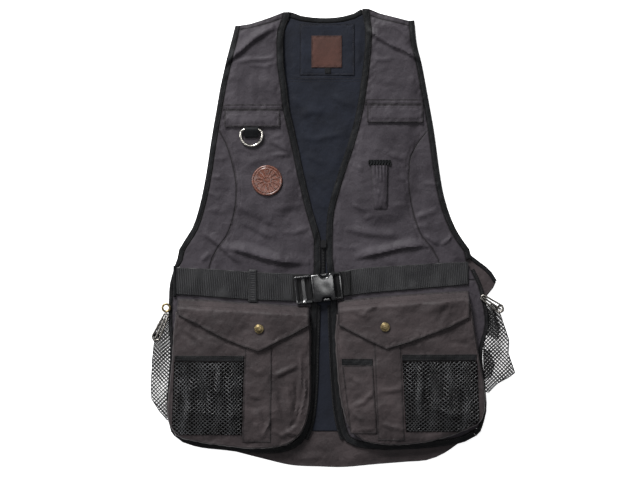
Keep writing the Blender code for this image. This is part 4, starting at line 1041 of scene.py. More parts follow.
def sew_gusset(side):
    """The standing wall of a pocket: it bulges, and is pleated where it turns the corners."""
    pocket = heights[side]
    line = np.array(divided(pocket.wall, 4.0, closed=False), float)
    ahead = np.gradient(line, axis=0)
    ahead /= np.linalg.norm(ahead, axis=1)[:, None]
    outward = np.stack((ahead[:, 1], -ahead[:, 0]), axis=1)
    middle = line.mean(axis=0)
    if ((line[len(line) // 2] - middle) * outward[len(line) // 2]).sum() < 0:
        outward = -outward
    tops = pocket.face_low(*line.T) - GAP
    run = np.concatenate(([0.0], np.cumsum(np.linalg.norm(np.diff(line, axis=0), axis=1))))
    pleats = ripple(run, 0 * run, 21, 13.0, 0.45)
    outer, inner = [], []
    for k in range(GUSSET_STEPS + 1):
        t = k / GUSSET_STEPS
        puff = (GUSSET_BULGE + pleats) * math.sin(math.pi * t) * ease(1.6 * min(t, 1 - t) + 0.2)
        z = GUSSET_LOW + (tops - GUSSET_LOW) * t
        place = line + outward * (puff - GAP)[:, None]
        outer.append(np.column_stack((place, z)))
        inner.append(np.column_stack((place - outward * GUSSET_WALL, z)))
    rows = outer + inner[::-1]
    count, wide = len(rows), len(line)
    points = np.vstack(rows)
    polygons = [(k * wide + i, k * wide + i + 1, (k + 1) % count * wide + i + 1,
                 (k + 1) % count * wide + i) for k in range(count) for i in range(wide - 1)]
    ends = [tuple(k * wide for k in range(count)),
            tuple(k * wide + wide - 1 for k in reversed(range(count)))]
    made = new_piece(f"pocket_gusset_{side}_cloth", points, polygons + ends, POCKET)
    face_outward(made)
    high = float((tops - GUSSET_LOW).mean())
    declare(made, "pocket_cloth", ["pocket_gusset_" + side], run[-1] * (high + 1.5), high + 1.5)
    return made


for side in SIDES:
    print("gusset", side, len(sew_gusset(side).data.polygons), "faces")

# %% [markdown]
# ## Face, placket, small pocket and flap
# These are stacked on the crowned face and share its creases. The net pocket has a backing
# behind it, near black as painted shade, so that its holes read dark. The flap has two rows of
# stitches along its edges and a seam across its top, where it folds down. The placket, the small
# pocket and the flap take wider bands of painted shade along their edges.

# %% What is sewn on the pockets
FLAP_SEAM = 9.0


def curled(side):
    """Underside of a pocket flap, whose free edge curls up a little."""
    pocket = heights[side]
    outline = outlines_of("pocket_flap_" + side)[0]

    def height(x, y):
        away = distance_to(outline + outline[:1], x, y)
        seam = np.interp(x, *np.array(FLAP_TOP[side], float).T)
        return pocket.flap_low(x, y) + 1.5 * ease(1 - away / 9.0) * ease((seam - y - 10.0) / 8.0)
    return height


def flap_seam(side):
    """Valley along the seam below the flap's top edge."""
    def valley(x, y, depth):
        seam = np.interp(x, *np.array(FLAP_TOP[side], float).T) - FLAP_SEAM
        pull = 1.1 * np.exp(-((y - seam) / 1.3)**2) - 0.5 * np.exp(-((y - seam - 3.6) / 1.5)**2)
        if side == "left":
            pull = pull + 0.3 * np.exp(-((x + 127.0) / 1.0)**2)
        return -pull
    return valley


for side in SIDES:
    pocket = heights[side]
    face = over(pocket.face_low, CLOTH)
    trim = over(face, GAP)
    name = f"pocket_face_{side}"
    below_mouth = lambda x, y, side=side: distance_to(MOUTH[side], x, y) > 6.0
    sew(name, pocket.face_low, face, POCKET, "pocket_cloth", 215,
        roll=0.9, radius=1.8, rows=(3.6,), keep=below_mouth)
    # The placket and the flap take a wider band of painted shade along their edges.
    sew(f"placket_{side}", trim, over(trim, TRIM), POCKET, "pocket_cloth", 42,
        roll=0.7, radius=1.3, rows=(2.0,), dark=1.8)
    sew(f"mesh_band_{side}", trim, over(trim, TRIM), TAPE, "binding", 9,
        pitch=2.6, roll=0.7, radius=1.6, rows=(2.6,),
        extra=lambda x, y, depth: 0.3 * np.sin(x / 0.9) * ease(depth / 2.0))
    flap = curled(side)
    sew(f"pocket_flap_{side}", flap, over(flap, CLOTH), POCKET, "pocket_cloth", 65,
        roll=0.8, radius=1.8, rows=(2.2, 6.0),
        extra=flap_seam(side), dark=2.2)
    ends = FLAP_TOP[side]
    across = np.arange(ends[0][0] + 3.0, ends[-1][0] - 3.0, 2.5)
    seam = np.interp(across, *np.array(ends, float).T) - FLAP_SEAM
    note_stitches(list(zip(across, seam)), over(flap, CLOTH - 0.5))
small = over(heights["right"].face_low, CLOTH + GAP)
sew("small_pocket_band", small, over(small, TRIM), TAPE, "binding", 10,
    pitch=2.6, roll=0.6, radius=1.4, rows=(2.0,))
# The small pocket takes a wider band of painted shade along its edges.
sew("small_pocket", small, over(small, TRIM), POCKET, "pocket_cloth", 46,
    roll=0.6, radius=1.3, rows=(2.0,), dark=1.8)
print("pockets done:", cut_of["pocket_face_left_cloth"], cut_of["pocket_flap_left_cloth"])

# %% [markdown]
# ## Net
# The net is polyester thread in diamonds. Strands run both ways across the panel on a pitch of
# about 4 mm, drawn from the pocket's own surface so that they follow its gathers. Geometry
# Nodes turn the paths into thread with a named thickness, because a strand is the same shape
# all along its path.

# %% A tree that turns paths into thread
def start_tree(name, result, **inputs):
    """A Geometry Nodes tree with named inputs and one result, and the node of its inputs."""
    tree = bpy.data.node_groups.new(name, "GeometryNodeTree")
    for label, kind in inputs.items():
        tree.interface.new_socket(label, in_out="INPUT", socket_type="NodeSocket" + kind)
    tree.interface.new_socket(result, in_out="OUTPUT", socket_type="NodeSocketGeometry")
    return tree, add_node(tree, "NodeGroupInput")


def end_tree(tree, result, geometry, material):
    """Make a tree's geometry real, give it its material and pass it out."""
    real = add_node(tree, "GeometryNodeRealizeInstances", {"Geometry": geometry})
    dressed = add_node(tree, "GeometryNodeSetMaterial",
                       {"Geometry": real.outputs["Geometry"], "Material": material})
    add_node(tree, "NodeGroupOutput", {result: dressed.outputs["Geometry"]})
    return tree


def thread_tree(name, material):
    """Geometry Nodes: mesh edges to round thread of the named radius and sides."""
    tree, given = start_tree(name, "Thread", Paths="Geometry", Radius="Float", Sides="Int")
    curve = add_node(tree, "GeometryNodeMeshToCurve", {"Mesh": given.outputs["Paths"]})
    round_profile = add_node(tree, "GeometryNodeCurvePrimitiveCircle", {
        "Resolution": given.outputs["Sides"], "Radius": given.outputs["Radius"]})
    thread = add_node(tree, "GeometryNodeCurveToMesh", {
        "Curve": curve.outputs["Curve"], "Profile Curve": round_profile.outputs["Curve"],
        "Fill Caps": True})
    smooth = add_node(tree, "GeometryNodeSetShadeSmooth", {"Geometry": thread.outputs["Mesh"]})
    return end_tree(tree, "Thread", smooth.outputs["Geometry"], material)


def path_object(name, paths):
    """An object whose mesh is open lines of points in mm."""
    points, edges = [], []
    for path in paths:
        first = len(points)
        closed = path[0] == path[-1]
        points += path[:-1] if closed else path
        edges += [(i, i + 1) for i in range(first, len(points) - 1)]
        if closed:
            edges.append((len(points) - 1, first))
    mesh = bpy.data.meshes.new(name)
    mesh.from_pydata([tuple(p) for p in np.array(points, float) * MM], edges, [])
    made = bpy.data.objects.new(name, mesh)
    scene.collection.objects.link(made)
    return made


def shade(made, values):
    """Store how deep in shade each point of the paths lies, from 0 to 1."""
    store(made, "edge", np.clip(np.array(values, float), 0, 1))


def apply_tree(made, tree, **settings):
    """Run a tree on an object and keep the result as its plain mesh."""
    step = made.modifiers.new(tree.name, "NODES")
    step.node_group = tree
    for item in tree.interface.items_tree:
        if item.in_out == "INPUT" and item.name in settings:
            step[item.identifier] = settings[item.name]
    view = bpy.context.evaluated_depsgraph_get()
    mesh = bpy.data.meshes.new_from_object(made.evaluated_get(view))
    made.modifiers.clear()
    made.data = mesh
    return made


DIAGONAL = 0.7071


def diamonds(outline, pitch, height, wobble=0.0, gather=0.0):
    """Strands that cross the outline both ways, as paths of points at a height."""
    x, y = np.array(outline, float).T
    reach = max(np.ptp(x), np.ptp(y)) * 1.5
    cx, cy = (x.min() + x.max()) / 2, (y.min() + y.max()) / 2
    step = pitch / 2
    s = np.arange(-reach / 2, reach / 2, step)
    paths = []
    for lean in (1.0, -1.0):
        for shift in np.arange(-reach / 2, reach / 2, pitch):
            px = cx + (s - lean * shift) * DIAGONAL
            py = cy + (lean * s + shift) * DIAGONAL
            px, py = px + wobble * np.sin(py / 9.0), py + wobble * np.cos(px / 11.0)
            px = px + gather * np.sin(px / 4.2 + 1.3 * np.sin(py / 31.0))
            good = inside(outline, px, py)
            z = height(px, py)
            run = []
            for k in range(len(s)):
                if good[k]:
                    run.append((px[k], py[k], z[k]))
                if run and (not good[k] or k == len(s) - 1):
                    if len(run) > 2:
                        paths.append(run)
                    run = []
    return paths


net_threads = thread_tree("Net threads", NET)
print("thread tree:", len(net_threads.nodes), "nodes")

# %% Net pockets
NET_PITCH = 4.4
NET_RADIUS = 0.57
BACKING_WALL = 0.5


NET_FOLDS = (
    Crease(((-220, -196), (-226, -230), (-214, -266), (-226, -306)), 9, 7, 3.4),
    Crease(((-196, -196), (-184, -226), (-180, -262), (-186, -306)), 9, 8, 3.8),
    Crease(((-168, -196), (-166, -222), (-172, -250)), 8, 7, 2.8),
    Crease(((-150, -196), (-152, -226), (-146, -262), (-152, -300)), 8, 7, 3.2),
    Crease(((-204, -240), (-200, -264), (-206, -300)), 5, 5, 1.8),
    Crease(((134, -196), (136, -220), (142, -250)), 6, 6, 2.4),
    Crease(((150, -196), (153, -226), (150, -262), (156, -300)), 8, 7, 3.6),
    Crease(((172, -196), (168, -222), (174, -256), (168, -296)), 8, 7, 3.2),
    Crease(((196, -196), (198, -230), (192, -268), (198, -300)), 9, 7, 3.8),
    Crease(((220, -196), (218, -224), (226, -262), (222, -300)), 8, 7, 3.0),
    Crease(((180, -262), (200, -276), (228, -272)), 7, 7, 2.4),
)


def net_height(side, outline):
    """The net stands off the face in loose folds below its elastic."""
    pocket = heights[side]

    def height(x, y):
        away = distance_to(outline + outline[:1], x, y)
        folds = creased(NET_FOLDS, x, y)
        return (pocket.face_low(x, y) + CLOTH + GAP + BACKING_WALL + 0.8
                + (1.4 + folds) * ease(away / 12.0))
    return height


def declare_net(made, node, area, narrow):
    """State a net as a sheet."""
    declare(made, "black_net", [node], area, narrow)


for side in SIDES:
    node = f"mesh_panel_{side}"
    outline = within(outlines_of(node)[0], outlines_of(f"pocket_face_{side}")[0], 1.6)
    face = over(heights[side].face_low, CLOTH + GAP)
    sheet = Sheet([outline], 4.0)
    low, high = face(sheet.x, sheet.y), face(sheet.x, sheet.y) + BACKING_WALL
    # A backing sheet behind the net, near black as painted shade in its holes.
    backing = closed_shell(node + "_backing", sheet, low, high, SHADED_BACKING)
    declare(backing, "black_net", [node], top_area(sheet, high), 112)
    paths = diamonds(outline, NET_PITCH, net_height(side, outline), 0.4, 1.3)
    net = path_object(f"net_{side}", paths)
    x, y = np.array([p for path in paths for p in path])[:, :2].T
    crests = creased(NET_FOLDS, x, y)
    # Painted shade: strands darken away from the fold crests, and the right net is darker overall.
    shade(net, (0.62 if side == "left" else 0.8) - crests / 4.0 + ripple(x, y, 41, 38.0, 0.34))
    apply_tree(net, net_threads, Radius=NET_RADIUS * MM, Sides=4)
    declare_net(net, node, top_area(sheet, high), 112)
    print("net", side, len(paths), "strands,", len(net.data.polygons), "faces")

# %% [markdown]
# ## Net bags
# An empty net bag hangs from each side and lies folded beside the pocket. It is two layers of
# the same net with a cord round its rim, and the right one is crumpled, so it has a few loose
# folds more.

# %% Bags
BAG_PITCH, BAG_RADIUS = 4.3, 0.66
bag_threads = thread_tree("Bag threads", BAG_NET)


def bag_top(outline, peaks):
    """Upper layer of a bag: the CAD's low cushion shape, and folds on it."""
    def height(x, y):
        away = distance_to(outline + outline[:1], x, y)
        folds = creased(peaks, x, y)
        return 2.2 + 5.0 * ease((away - 4.0) / 16.0) + folds * ease(away / 5.0)
    return height


# Where the right bag is bunched under its hook and beside the pocket
BAG_BUNCHES = (((259, -108), (274, -113), (283, -140), (278, -160), (262, -152)),
               ((254, -172), (266, -178), (274, -200), (268, -220), (256, -224)))
BAG_FOLDS = {
    "left": (Crease(((-262, -132), (-258, -180), (-262, -250)), 5, 4, 2.0),
             Crease(((-272, -160), (-268, -210), (-254, -270)), 4, 4, 1.6)),
    "right": (Crease(((266, -110), (276, -150), (280, -200)), 6, 4, 3.0),
              Crease(((262, -140), (280, -170), (298, -206)), 5, 4, 3.0),
              Crease(((258, -190), (276, -200), (300, -214)), 5, 4, 2.5),
              Crease(((286, -118), (284, -150), (294, -176)), 4, 4, 2.0)),
}
for side in SIDES:
    node = f"net_bag_{side}"
    outline = outlines_of(node)[0]
    rim_line = inset(divided(outline, 5.0), 0.9)
    top = bag_top(outline, BAG_FOLDS[side])
    paths = diamonds(outline, BAG_PITCH, top, 0.8)
    paths += diamonds(outline, BAG_PITCH * 1.04, level(0.9), 1.3)
    for rise in (0.9, 2.3):
        rim = [(x, y, rise) for x, y in rim_line]
        paths.append(rim + rim[:1])
    if side == "right":
        for bunch in BAG_BUNCHES:
            paths += diamonds(bunch, BAG_PITCH * 0.5, over(top, -1.2), 1.4)
    bag = path_object(f"bag_{side}", paths)
    apply_tree(bag, bag_threads, Radius=BAG_RADIUS * MM, Sides=4)
    sheet = Sheet([outline], 6.0)
    area = top_area(sheet, np.zeros(len(sheet.x))) * (2.0 if side == "left" else 2.6)
    declare_net(bag, node, area, 40)
    print("bag", side, len(bag.data.polygons), "faces")

# %% [markdown]
# ## Belt
# The belt is nylon webbing with ribs across it. A second tree places a small part at equal
# steps along a path, turned with it and stretched by a width that is stored on the path. Ribs,
# zip teeth and stitches are all made with it, each with its own part.

# %% A tree that repeats a part along a path
def row_tree(name, material):
    """Geometry Nodes: one part at every step along the paths."""
    tree, given = start_tree(name, "Row", Paths="Geometry", Part="Object", Step="Float")
    curve = add_node(tree, "GeometryNodeMeshToCurve", {"Mesh": given.outputs["Paths"]})
    points = add_node(tree, "GeometryNodeCurveToPoints", {
        "Curve": curve.outputs["Curve"], "Length": given.outputs["Step"]}, mode="LENGTH")
    turn = add_node(tree, "FunctionNodeAlignRotationToVector", {
        "Vector": points.outputs["Tangent"]}, axis="X", pivot_axis="AUTO")
    width = add_node(tree, "GeometryNodeInputNamedAttribute", {"Name": "width"},
                     data_type="FLOAT")
    size = add_node(tree, "ShaderNodeCombineXYZ", {
        "X": 1.0, "Y": width.outputs["Attribute"], "Z": 1.0})
    part = add_node(tree, "GeometryNodeObjectInfo", {"Object": given.outputs["Part"]})
    placed = add_node(tree, "GeometryNodeInstanceOnPoints", {
        "Points": points.outputs["Points"], "Instance": part.outputs["Geometry"],
        "Rotation": turn.outputs["Rotation"], "Scale": size.outputs["Vector"]})
    return end_tree(tree, "Row", placed.outputs["Instances"], material)


def bead(name, length, width, height, around=6, along=4):
    """A small long bead along X, the part for stitches and teeth; width is half its breadth."""
    points, polygons = [(-length / 2, 0.0, 0.0)], []
    for k in range(1, along):
        turn = math.pi * k / along
        for j in range(around):
            spin = 2 * math.pi * j / around
            points.append((-length / 2 * math.cos(turn), width * math.sin(turn) * math.cos(spin),
                           height * math.sin(turn) * math.sin(spin)))
    points.append((length / 2, 0.0, 0.0))
    last = len(points) - 1
    for j in range(around):
        m = (j + 1) % around
        polygons.append((0, 1 + m, 1 + j))
        for k in range(along - 2):
            a, b = 1 + k * around, 1 + (k + 1) * around
            polygons.append((a + j, a + m, b + m, b + j))
        polygons.append((last, last - around + j, last - around + m))
    return new_piece(name, points, polygons, THREAD, 80.0)


def rib(name, thick, height):
    """A half round bar across the webbing, one unit long to each side."""
    turns = [math.pi * k / 4 for k in range(5)]
    profile = [(thick / 2 * math.cos(t), height * math.sin(t)) for t in turns]
    points = [(x, side, z) for side in (-1.0, 1.0) for x, z in profile]
    polygons = [(i, i + 1, i + 6, i + 5) for i in range(4)] + [(0, 5, 9, 4)]
    polygons += [(0, 4, 3, 2, 1), (5, 6, 7, 8, 9)]
    made = new_piece(name, points, polygons, WEBBING, 70.0)
    face_outward(made)
    return made


def repeat(name, paths, tree, part, step, widths=None, shades=None):
    """Rows of one part along the paths, as a plain mesh."""
    made = path_object(name, paths)
    if shades is not None:
        shade(made, shades)
    values = [1.0] * len(made.data.vertices) if widths is None else widths
    store(made, "width", values)
    apply_tree(made, tree, Part=part, Step=step * MM)
    return made


rib_part = rib("rib", 2.5, 0.8)
rib_rows = row_tree("Webbing ribs", WEBBING)
print("row tree:", len(rib_rows.nodes), "nodes")

# %% Webbing
BELT_LOW, BELT_HIGH = 5.4, 7.2
RIB_STEP = 2.9


def belt_top(rise):
    """Webbing lies in shallow waves along its length."""
    return lambda x, y: rise + 0.55 * ripple(x, 0.35 * np.asarray(y, float), 27, 24.0, 1.0)


def under_buckle(x):
    """Share of shade that the buckle gives the webbing."""
    return ease((49.0 - np.abs(np.asarray(x, float) + 3.0)) / 3.0)


def ribbed(node, base, z, narrow):
    """Webbing in a node's outline, with ribs across it from edge to edge."""
    outline = outlines_of(node)[0]
    top = belt_top(z)
    cloth = sew(node, level(base), top, WEBBING, "webbing", narrow, pitch=4.0,
                roll=0.5, radius=1.2)
    # Painted shade on the webbing under the buckle; its ribs get the same below.
    edge = cloth.data.attributes["edge"]
    values = np.empty(len(edge.data))
    edge.data.foreach_get("value", values)
    places = np.array([v.co.x / MM for v in cloth.data.vertices])
    edge.data.foreach_set("value", np.maximum(values, under_buckle(places)))
    x, y = np.array(outline, float).T
    across = np.arange(x.min() + 1.6, x.max() - 1.6, 2.0)
    path, widths = [], []
    for at in across:
        hits = []
        for (x0, y0), (x1, y1) in zip(outline, outline[1:] + outline[:1]):
            if (x0 > at) != (x1 > at):
                hits.append(y0 + (y1 - y0) * (at - x0) / (x1 - x0))
        middle = (max(hits) + min(hits)) / 2
        path.append((float(at), middle, float(top(at, middle)) - 0.12))
        widths.append((max(hits) - min(hits)) / 2 - 0.9)
    ribs = repeat(node + "_ribs", [path], rib_rows, rib_part, RIB_STEP, widths,
                  under_buckle([p[0] for p in path]))
    hang(ribs, "webbing")
    return cloth, ribs


for side, width in (("left", 44), ("right", 40)):
    _, ribs = ribbed("belt_" + side, BELT_LOW, BELT_HIGH - 0.3, width)
    print("belt", side, len(ribs.data.polygons), "rib faces")
ribbed("belt_end", 7.5, 10.4, 15)
tab = Sheet([[(-241.3, -90.5), (-236.6, -90.8), (-236.4, -41.5), (-241.0, -41.0)]], 2.4,
            (0.5, 1.5))
tab_top = 8.3 - edge_dip(tab.depth, 0.8, 1.5, ())
piece = closed_shell("belt_tab", tab, np.full(len(tab_top), 5.5), tab_top, TAPE)
declare(piece, "webbing", ["belt_left"], top_area(tab, tab_top), 5)
keeper_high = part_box("belt_keeper")[1][2] / MM
sew("belt_keeper", level(keeper_high - 1.6), level(keeper_high), WEBBING, "webbing", 14,
    pitch=1.6, roll=1.1, radius=3.0,
    extra=lambda x, y, depth: 0.35 * np.sin(y * 1.7) * ease(depth / 2.0))

# %% [markdown]
# ## Buckle
# A side release buckle is moulded acetal. The ladder has two slots for the free webbing, and
# the catch is a crowned housing with a notch at each side, where the prong shows. Round edges
# matter most here, because they catch the light.

# %% Buckle
BUCKLE_CENTRE = (-8.5, -76.8)
BUCKLE_TURN = math.radians(6.7)
BUCKLE_LOW = 7.5
PRONG_LOW, PRONG_HIGH = 8.0, 6.2


def buckle_place(x, y):
    """From the buckle's own axes to its place on the belt."""
    c, s = math.cos(BUCKLE_TURN), math.sin(BUCKLE_TURN)
    return BUCKLE_CENTRE[0] + x * c - y * s, BUCKLE_CENTRE[1] + x * s + y * c


def buckle_axes(x, y):
    """From the belt back to the buckle's own axes."""
    c, s = math.cos(BUCKLE_TURN), math.sin(BUCKLE_TURN)
    dx, dy = x - BUCKLE_CENTRE[0], y - BUCKLE_CENTRE[1]
    return dx * c + dy * s, -dx * s + dy * c


def moulded(name, outlines, height, round_off, pitch, nodes=(), low=BUCKLE_LOW):
    """A moulded part: its outline, its height over the belt, and rounded edges."""
    sheet = Sheet(outlines, pitch, (round_off * 0.12, round_off * 0.4, round_off))
    dip = edge_dip(sheet.depth, round_off, round_off, ())
    tops = low + height(*buckle_axes(sheet.x, sheet.y)) - dip
    made = closed_shell(name, sheet, np.full(len(tops), low), np.maximum(tops, low + 0.4), ACETAL)
    hang(made, "black_acetal", *nodes)
    return made


def ladder_height(x, y):
    """The ladder's rims stand over its bars."""
    return 4.2 + 0.8 * ease((np.abs(y) - 16.5) / 3.0)


def catch_height(x, y):
    """Crowned housing, with a step down to the webbing bar and a shallow thumb hollow."""
    crown = 9.3 - 1.3 * (y / 22.0)**2 - 1.2 * ((x - 8.0) / 24.0)**2
    step = 3.4 * ease((x - 24.0) / 4.0)
    hollow = 0.5 * np.exp(-((x - 11.0) / 8.0)**2 - (y / 9.0)**2)
    return crown - step - hollow


ladder = moulded("buckle_ladder_moulding", outlines_of("buckle_ladder"), ladder_height, 1.9, 1.6,
                 ["buckle_ladder"])
catch = moulded("buckle_catch_moulding", outlines_of("buckle_catch"), catch_height, 2.6, 1.6,
                ["buckle_catch"])
for number, side in enumerate((-1.0, 1.0)):
    tip = [(4.6, 22.2), (17.2, 22.2), (15.2, 17.3), (7.0, 17.3)]
    tip = [buckle_place(x, y * side) for x, y in tip]
    if side > 0:
        tip = tip[::-1]
    moulded(f"buckle_prong_{number}", [tip], level(PRONG_HIGH), 1.5, 1.4, low=PRONG_LOW)
print("buckle:", len(ladder.data.polygons) + len(catch.data.polygons), "faces")

# %% [markdown]
# ## Zip
# The teeth are moulded plastic. Where the zip is closed the two rows mesh into one chain; below
# the buckle each tape carries its own row.

# %% Zip chain, teeth and slider
sew("zip_chain", level(3.1), level(4.0), TAPE, "zip", 6.4, roll=0.2,
    radius=0.8)
tooth = bead("tooth", 1.7, 1.9, 0.75)
zip_rows = row_tree("Zip teeth", ZIPPER)
chain = [[(-1.0 + shift, y, 4.3) for y in np.arange(-76.0, -5.0, 1.0)] for shift in (-0.9, 0.9)]
for side in SIDES:
    outline = outlines_of("zip_tape_" + side)[0]
    binding = outlines_of("front_binding_" + side)[0]
    line = inset(divided(outline, 3.0), 1.2)
    free = line[distance_to(binding + binding[:1], *line.T) > 3.2]
    free = free[np.argsort(-free[:, 1])]
    chain.append([(float(x), float(y), 4.5) for x, y in free])
teeth = repeat("zip_teeth", chain, zip_rows, tooth, 2.4)
hang(teeth, "zip")
print("zip teeth:", len(teeth.data.polygons), "faces")

# %% [markdown]
# ## Ring, hooks and side ring
# The wire parts are bent from round wire. Each is a path, drawn again through closer points on
# a smooth curve, and the thread tree gives it a round section of sixteen sides. The chest ring
# hangs in ribbed webbing, one strip that is bent round its bar and sewn flat under the flap.

# %% Wire parts
CURVE_STEPS = 4


def smooth_loop(path):
    """More points on a smooth closed curve through the path."""
    points = np.array(path, float)
    before, after, last = (np.roll(points, shift, axis=0) for shift in (1, -1, -2))
    rows = []
    for k in range(CURVE_STEPS):
        t = k / CURVE_STEPS
        rows.append(0.5 * (2 * points + (after - before) * t
                           + (2 * before - 5 * points + 4 * after - last) * t**2
                           + (3 * points - before - 3 * after + last) * t**3))
    dense = np.stack(rows, axis=1).reshape(-1, 3)
    dense = [tuple(float(c) for c in p) for p in dense]
    return dense + dense[:1]


def circle(centre, radius, z):
    """Sixteen points on a level circle."""
    return [(float(centre[0] + radius * math.cos(math.pi * k / 8)),
             float(centre[1] + radius * math.sin(math.pi * k / 8)), z) for k in range(16)]


def wire(node, paths, radius, body, tree, slot):
    """Round wire along paths in place of a CAD node."""
    made = path_object(node + "_wire", paths)
    apply_tree(made, tree, Radius=radius * MM, Sides=16)
    hang(made, slot, node, body=body)
    return made


nickel_wire, brass_wire = thread_tree("Nickel wire", NICKEL), thread_tree("Brass wire", BRASS)
hook_wire = thread_tree("Hook wire", DULL_NICKEL)
RING_X, BAR_Y, BOW_Y, RING_R, RING_CORNER = -116.0, 176.5, 167.5, 17.2, 3.5
BAR_Z, BOW_Z = 12.4, 10.9
RING_WIRE, SIDE_RING_WIRE, HOOK_WIRE = 2.0, 1.9, 1.6  # radii
CORD_RADIUS, CORD_LOOP = 1.7, 5.0
rise = BAR_Y - BOW_Y
reach = math.sqrt(RING_R**2 - rise**2)
begin = math.atan2(rise, reach) - RING_CORNER / RING_R
bow = [begin - k * (math.pi + 2 * begin) / 26 for k in range(27)]
ring = [(RING_X + RING_R * math.cos(t), BOW_Y + RING_R * math.sin(t)) for t in bow]
ring += [(RING_X + (reach - RING_CORNER) * k / 3, BAR_Y) for k in range(-3, 4)]
tilt = (BOW_Z - BAR_Z) / (BAR_Y - BOW_Y + RING_R)
ring = [(x, y, BAR_Z + tilt * (BAR_Y - y)) for x, y in ring]
wire("d_ring", [smooth_loop(ring)], RING_WIRE, "d_ring", nickel_wire, "nickel")
LOOP_PATH = ((185.0, 10.7), (180.6, 10.7), (179.4, 11.9), (179.4, 13.6), (177.7, 15.3),
             (175.3, 15.3), (164.9, 11.5), (163.8, 10.5), (164.4, 9.5), (185.0, 9.5))
LOOP_HALF, LOOP_WALL = 11.0, 1.2
line = np.array(divided(LOOP_PATH, 0.8, closed=False), float)
line[1:-1] = 0.25 * line[:-2] + 0.5 * line[1:-1] + 0.25 * line[2:]
ahead = np.gradient(line, axis=0)
ahead /= np.linalg.norm(ahead, axis=1)[:, None]
away = np.column_stack((-ahead[:, 1], ahead[:, 0])) * LOOP_WALL / 2
ribs = 1.0 + 0.16 * np.sin(1.9 * np.arange(len(line)))[:, None]
rings = []
for share in np.linspace(-1.0, 1.0, 11):
    thin = 1.0 - 0.45 * abs(share)**8
    ring_path = np.vstack((line + away * ribs * thin, (line - away * thin)[::-1]))
    rings.append(np.column_stack((np.full(len(ring_path), RING_X + LOOP_HALF * share),
                                  ring_path)))
wide = len(ring_path)
polygons = tube_faces(len(rings), wide)
polygons += [(k * wide + i + 1, k * wide + i, k * wide + wide - 1 - i, k * wide + wide - 2 - i)
             for k in (0, len(rings) - 1) for i in range(len(line) - 1)]
loop = new_piece("ring_loop_cloth", np.vstack(rings), polygons, TAPE, 50.0)
face_outward(loop)
declare(loop, "webbing", ["ring_loop"], 2 * LOOP_HALF * 51.0, 2 * LOOP_HALF)
side_ring = circle((-252.5, -108.5), 5.9, 6.5)
wire("side_ring", [smooth_loop(side_ring)], SIDE_RING_WIRE, "vest", brass_wire, "antique_brass")
HOOKS = {"left": ((-253, -121.5), (-268, -154), 6.9), "right": ((255, -92), (280, -109), 7.3)}
for side, (start, end, z) in HOOKS.items():
    start, end = np.array(start, float), np.array(end, float)
    along = (end - start) / np.linalg.norm(end - start)
    across = np.array((-along[1], along[0]))
    loop = []
    for centre, first, radius in ((end, -90, 6.0), (start, 90, 3.6)):
        for k in range(9):
            turn = math.radians(first + 22.5 * k)
            place = centre + radius * (along * math.cos(turn) + across * math.sin(turn))
            loop.append((float(place[0]), float(place[1]), z))
    gate = [tuple(float(c) for c in place) + (z,) for place in (start - along, end + 3 * along)]
    hook = wire("snap_hook_" + side, [smooth_loop(loop), gate], HOOK_WIRE, "vest", hook_wire,
                "nickel")
    cord = circle(end + 2.5 * along, CORD_LOOP, z - 2 * CORD_RADIUS)
    knot = path_object("bag_cord_" + side, [smooth_loop(cord)])
    apply_tree(knot, bag_threads, Radius=CORD_RADIUS * MM, Sides=10)
    hang(knot, "black_net")
print("a hook has", len(hook.data.polygons), "faces")

# %% [markdown]
# ## Badge
# The badge is a leather disc with a pressed rim and a plain rosette, made on rings of points so
# that its relief stays crisp.

# %% Leather badge
BADGE_X, BADGE_Y, BADGE_R = -91.0, 95.0, 24.4
RINGS, SPOKES = 34, 120


def badge_relief(share, turn):
    """Depth pressed into the leather at a share of the radius and a turn."""
    rim = 0.75 * np.exp(-((share - 0.86) / 0.022)**2)
    petals = 0.5 * (0.5 + 0.5 * np.cos(12 * turn)) * ease((share - 0.2) / 0.2)
    petals = petals * ease((0.76 - share) / 0.08)
    middle = 0.5 * np.exp(-((share - 0.14) / 0.03)**2)
    edge = 1.1 * ease((share - 0.95) / 0.05)
    return rim + petals + middle + edge


turns = np.arange(SPOKES) * 2 * math.pi / SPOKES
rows = [np.array([[BADGE_X, BADGE_Y]])]
reliefs = [badge_relief(np.array([0.0]), np.array([0.0]))]
for k in range(1, RINGS + 1):
    share = k / RINGS
    rows.append(np.stack((BADGE_X + BADGE_R * share * np.cos(turns),
                          BADGE_Y + BADGE_R * share * np.sin(turns)), axis=1))
    reliefs.append(badge_relief(np.full(SPOKES, share), turns))
flat = np.vstack(rows)
seat = cover(*flat.T)
top = np.column_stack((flat, seat + 3.0 - np.concatenate(reliefs)))
low = np.column_stack((flat, seat))
count = len(flat)
polygons = []
for j in range(SPOKES):
    m = (j + 1) % SPOKES
    polygons += [(0, 1 + j, 1 + m), (count, count + 1 + m, count + 1 + j)]
    for k in range(RINGS - 1):
        a, b = 1 + k * SPOKES, 1 + (k + 1) * SPOKES
        polygons += [(a + j, b + j, b + m, a + m),
                     (count + a + m, count + b + m, count + b + j, count + a + j)]
    last = 1 + (RINGS - 1) * SPOKES
    polygons.append((last + j, count + last + j, count + last + m, last + m))
badge = new_piece("badge_leather", np.vstack((top, low)), polygons, LEATHER, 50.0)
hang(badge, "badge_leather", "badge")
print("badge:", len(badge.data.polygons), "faces")

# %% [markdown]
# ## Whistle pocket
# A narrow tube of cloth is sewn flat at both sides, and its mouth is gathered by elastic into
# small deep ruffles. The tube wrinkles below the mouth and goes flat towards its foot.

# %% Whistle pocket and its gathered band
WHISTLE_BASE = 8.9
WHISTLE_TOP, WHISTLE_FOOT = (75.0, 102.0, 119.0), (79.5, 101.0, 50.0)
WHISTLE_RISE = 6.2
RUFFLE, RUFFLES, RUFFLE_REACH = 1.1, 5, 0.24
COLUMNS, ROWS = 36, 40


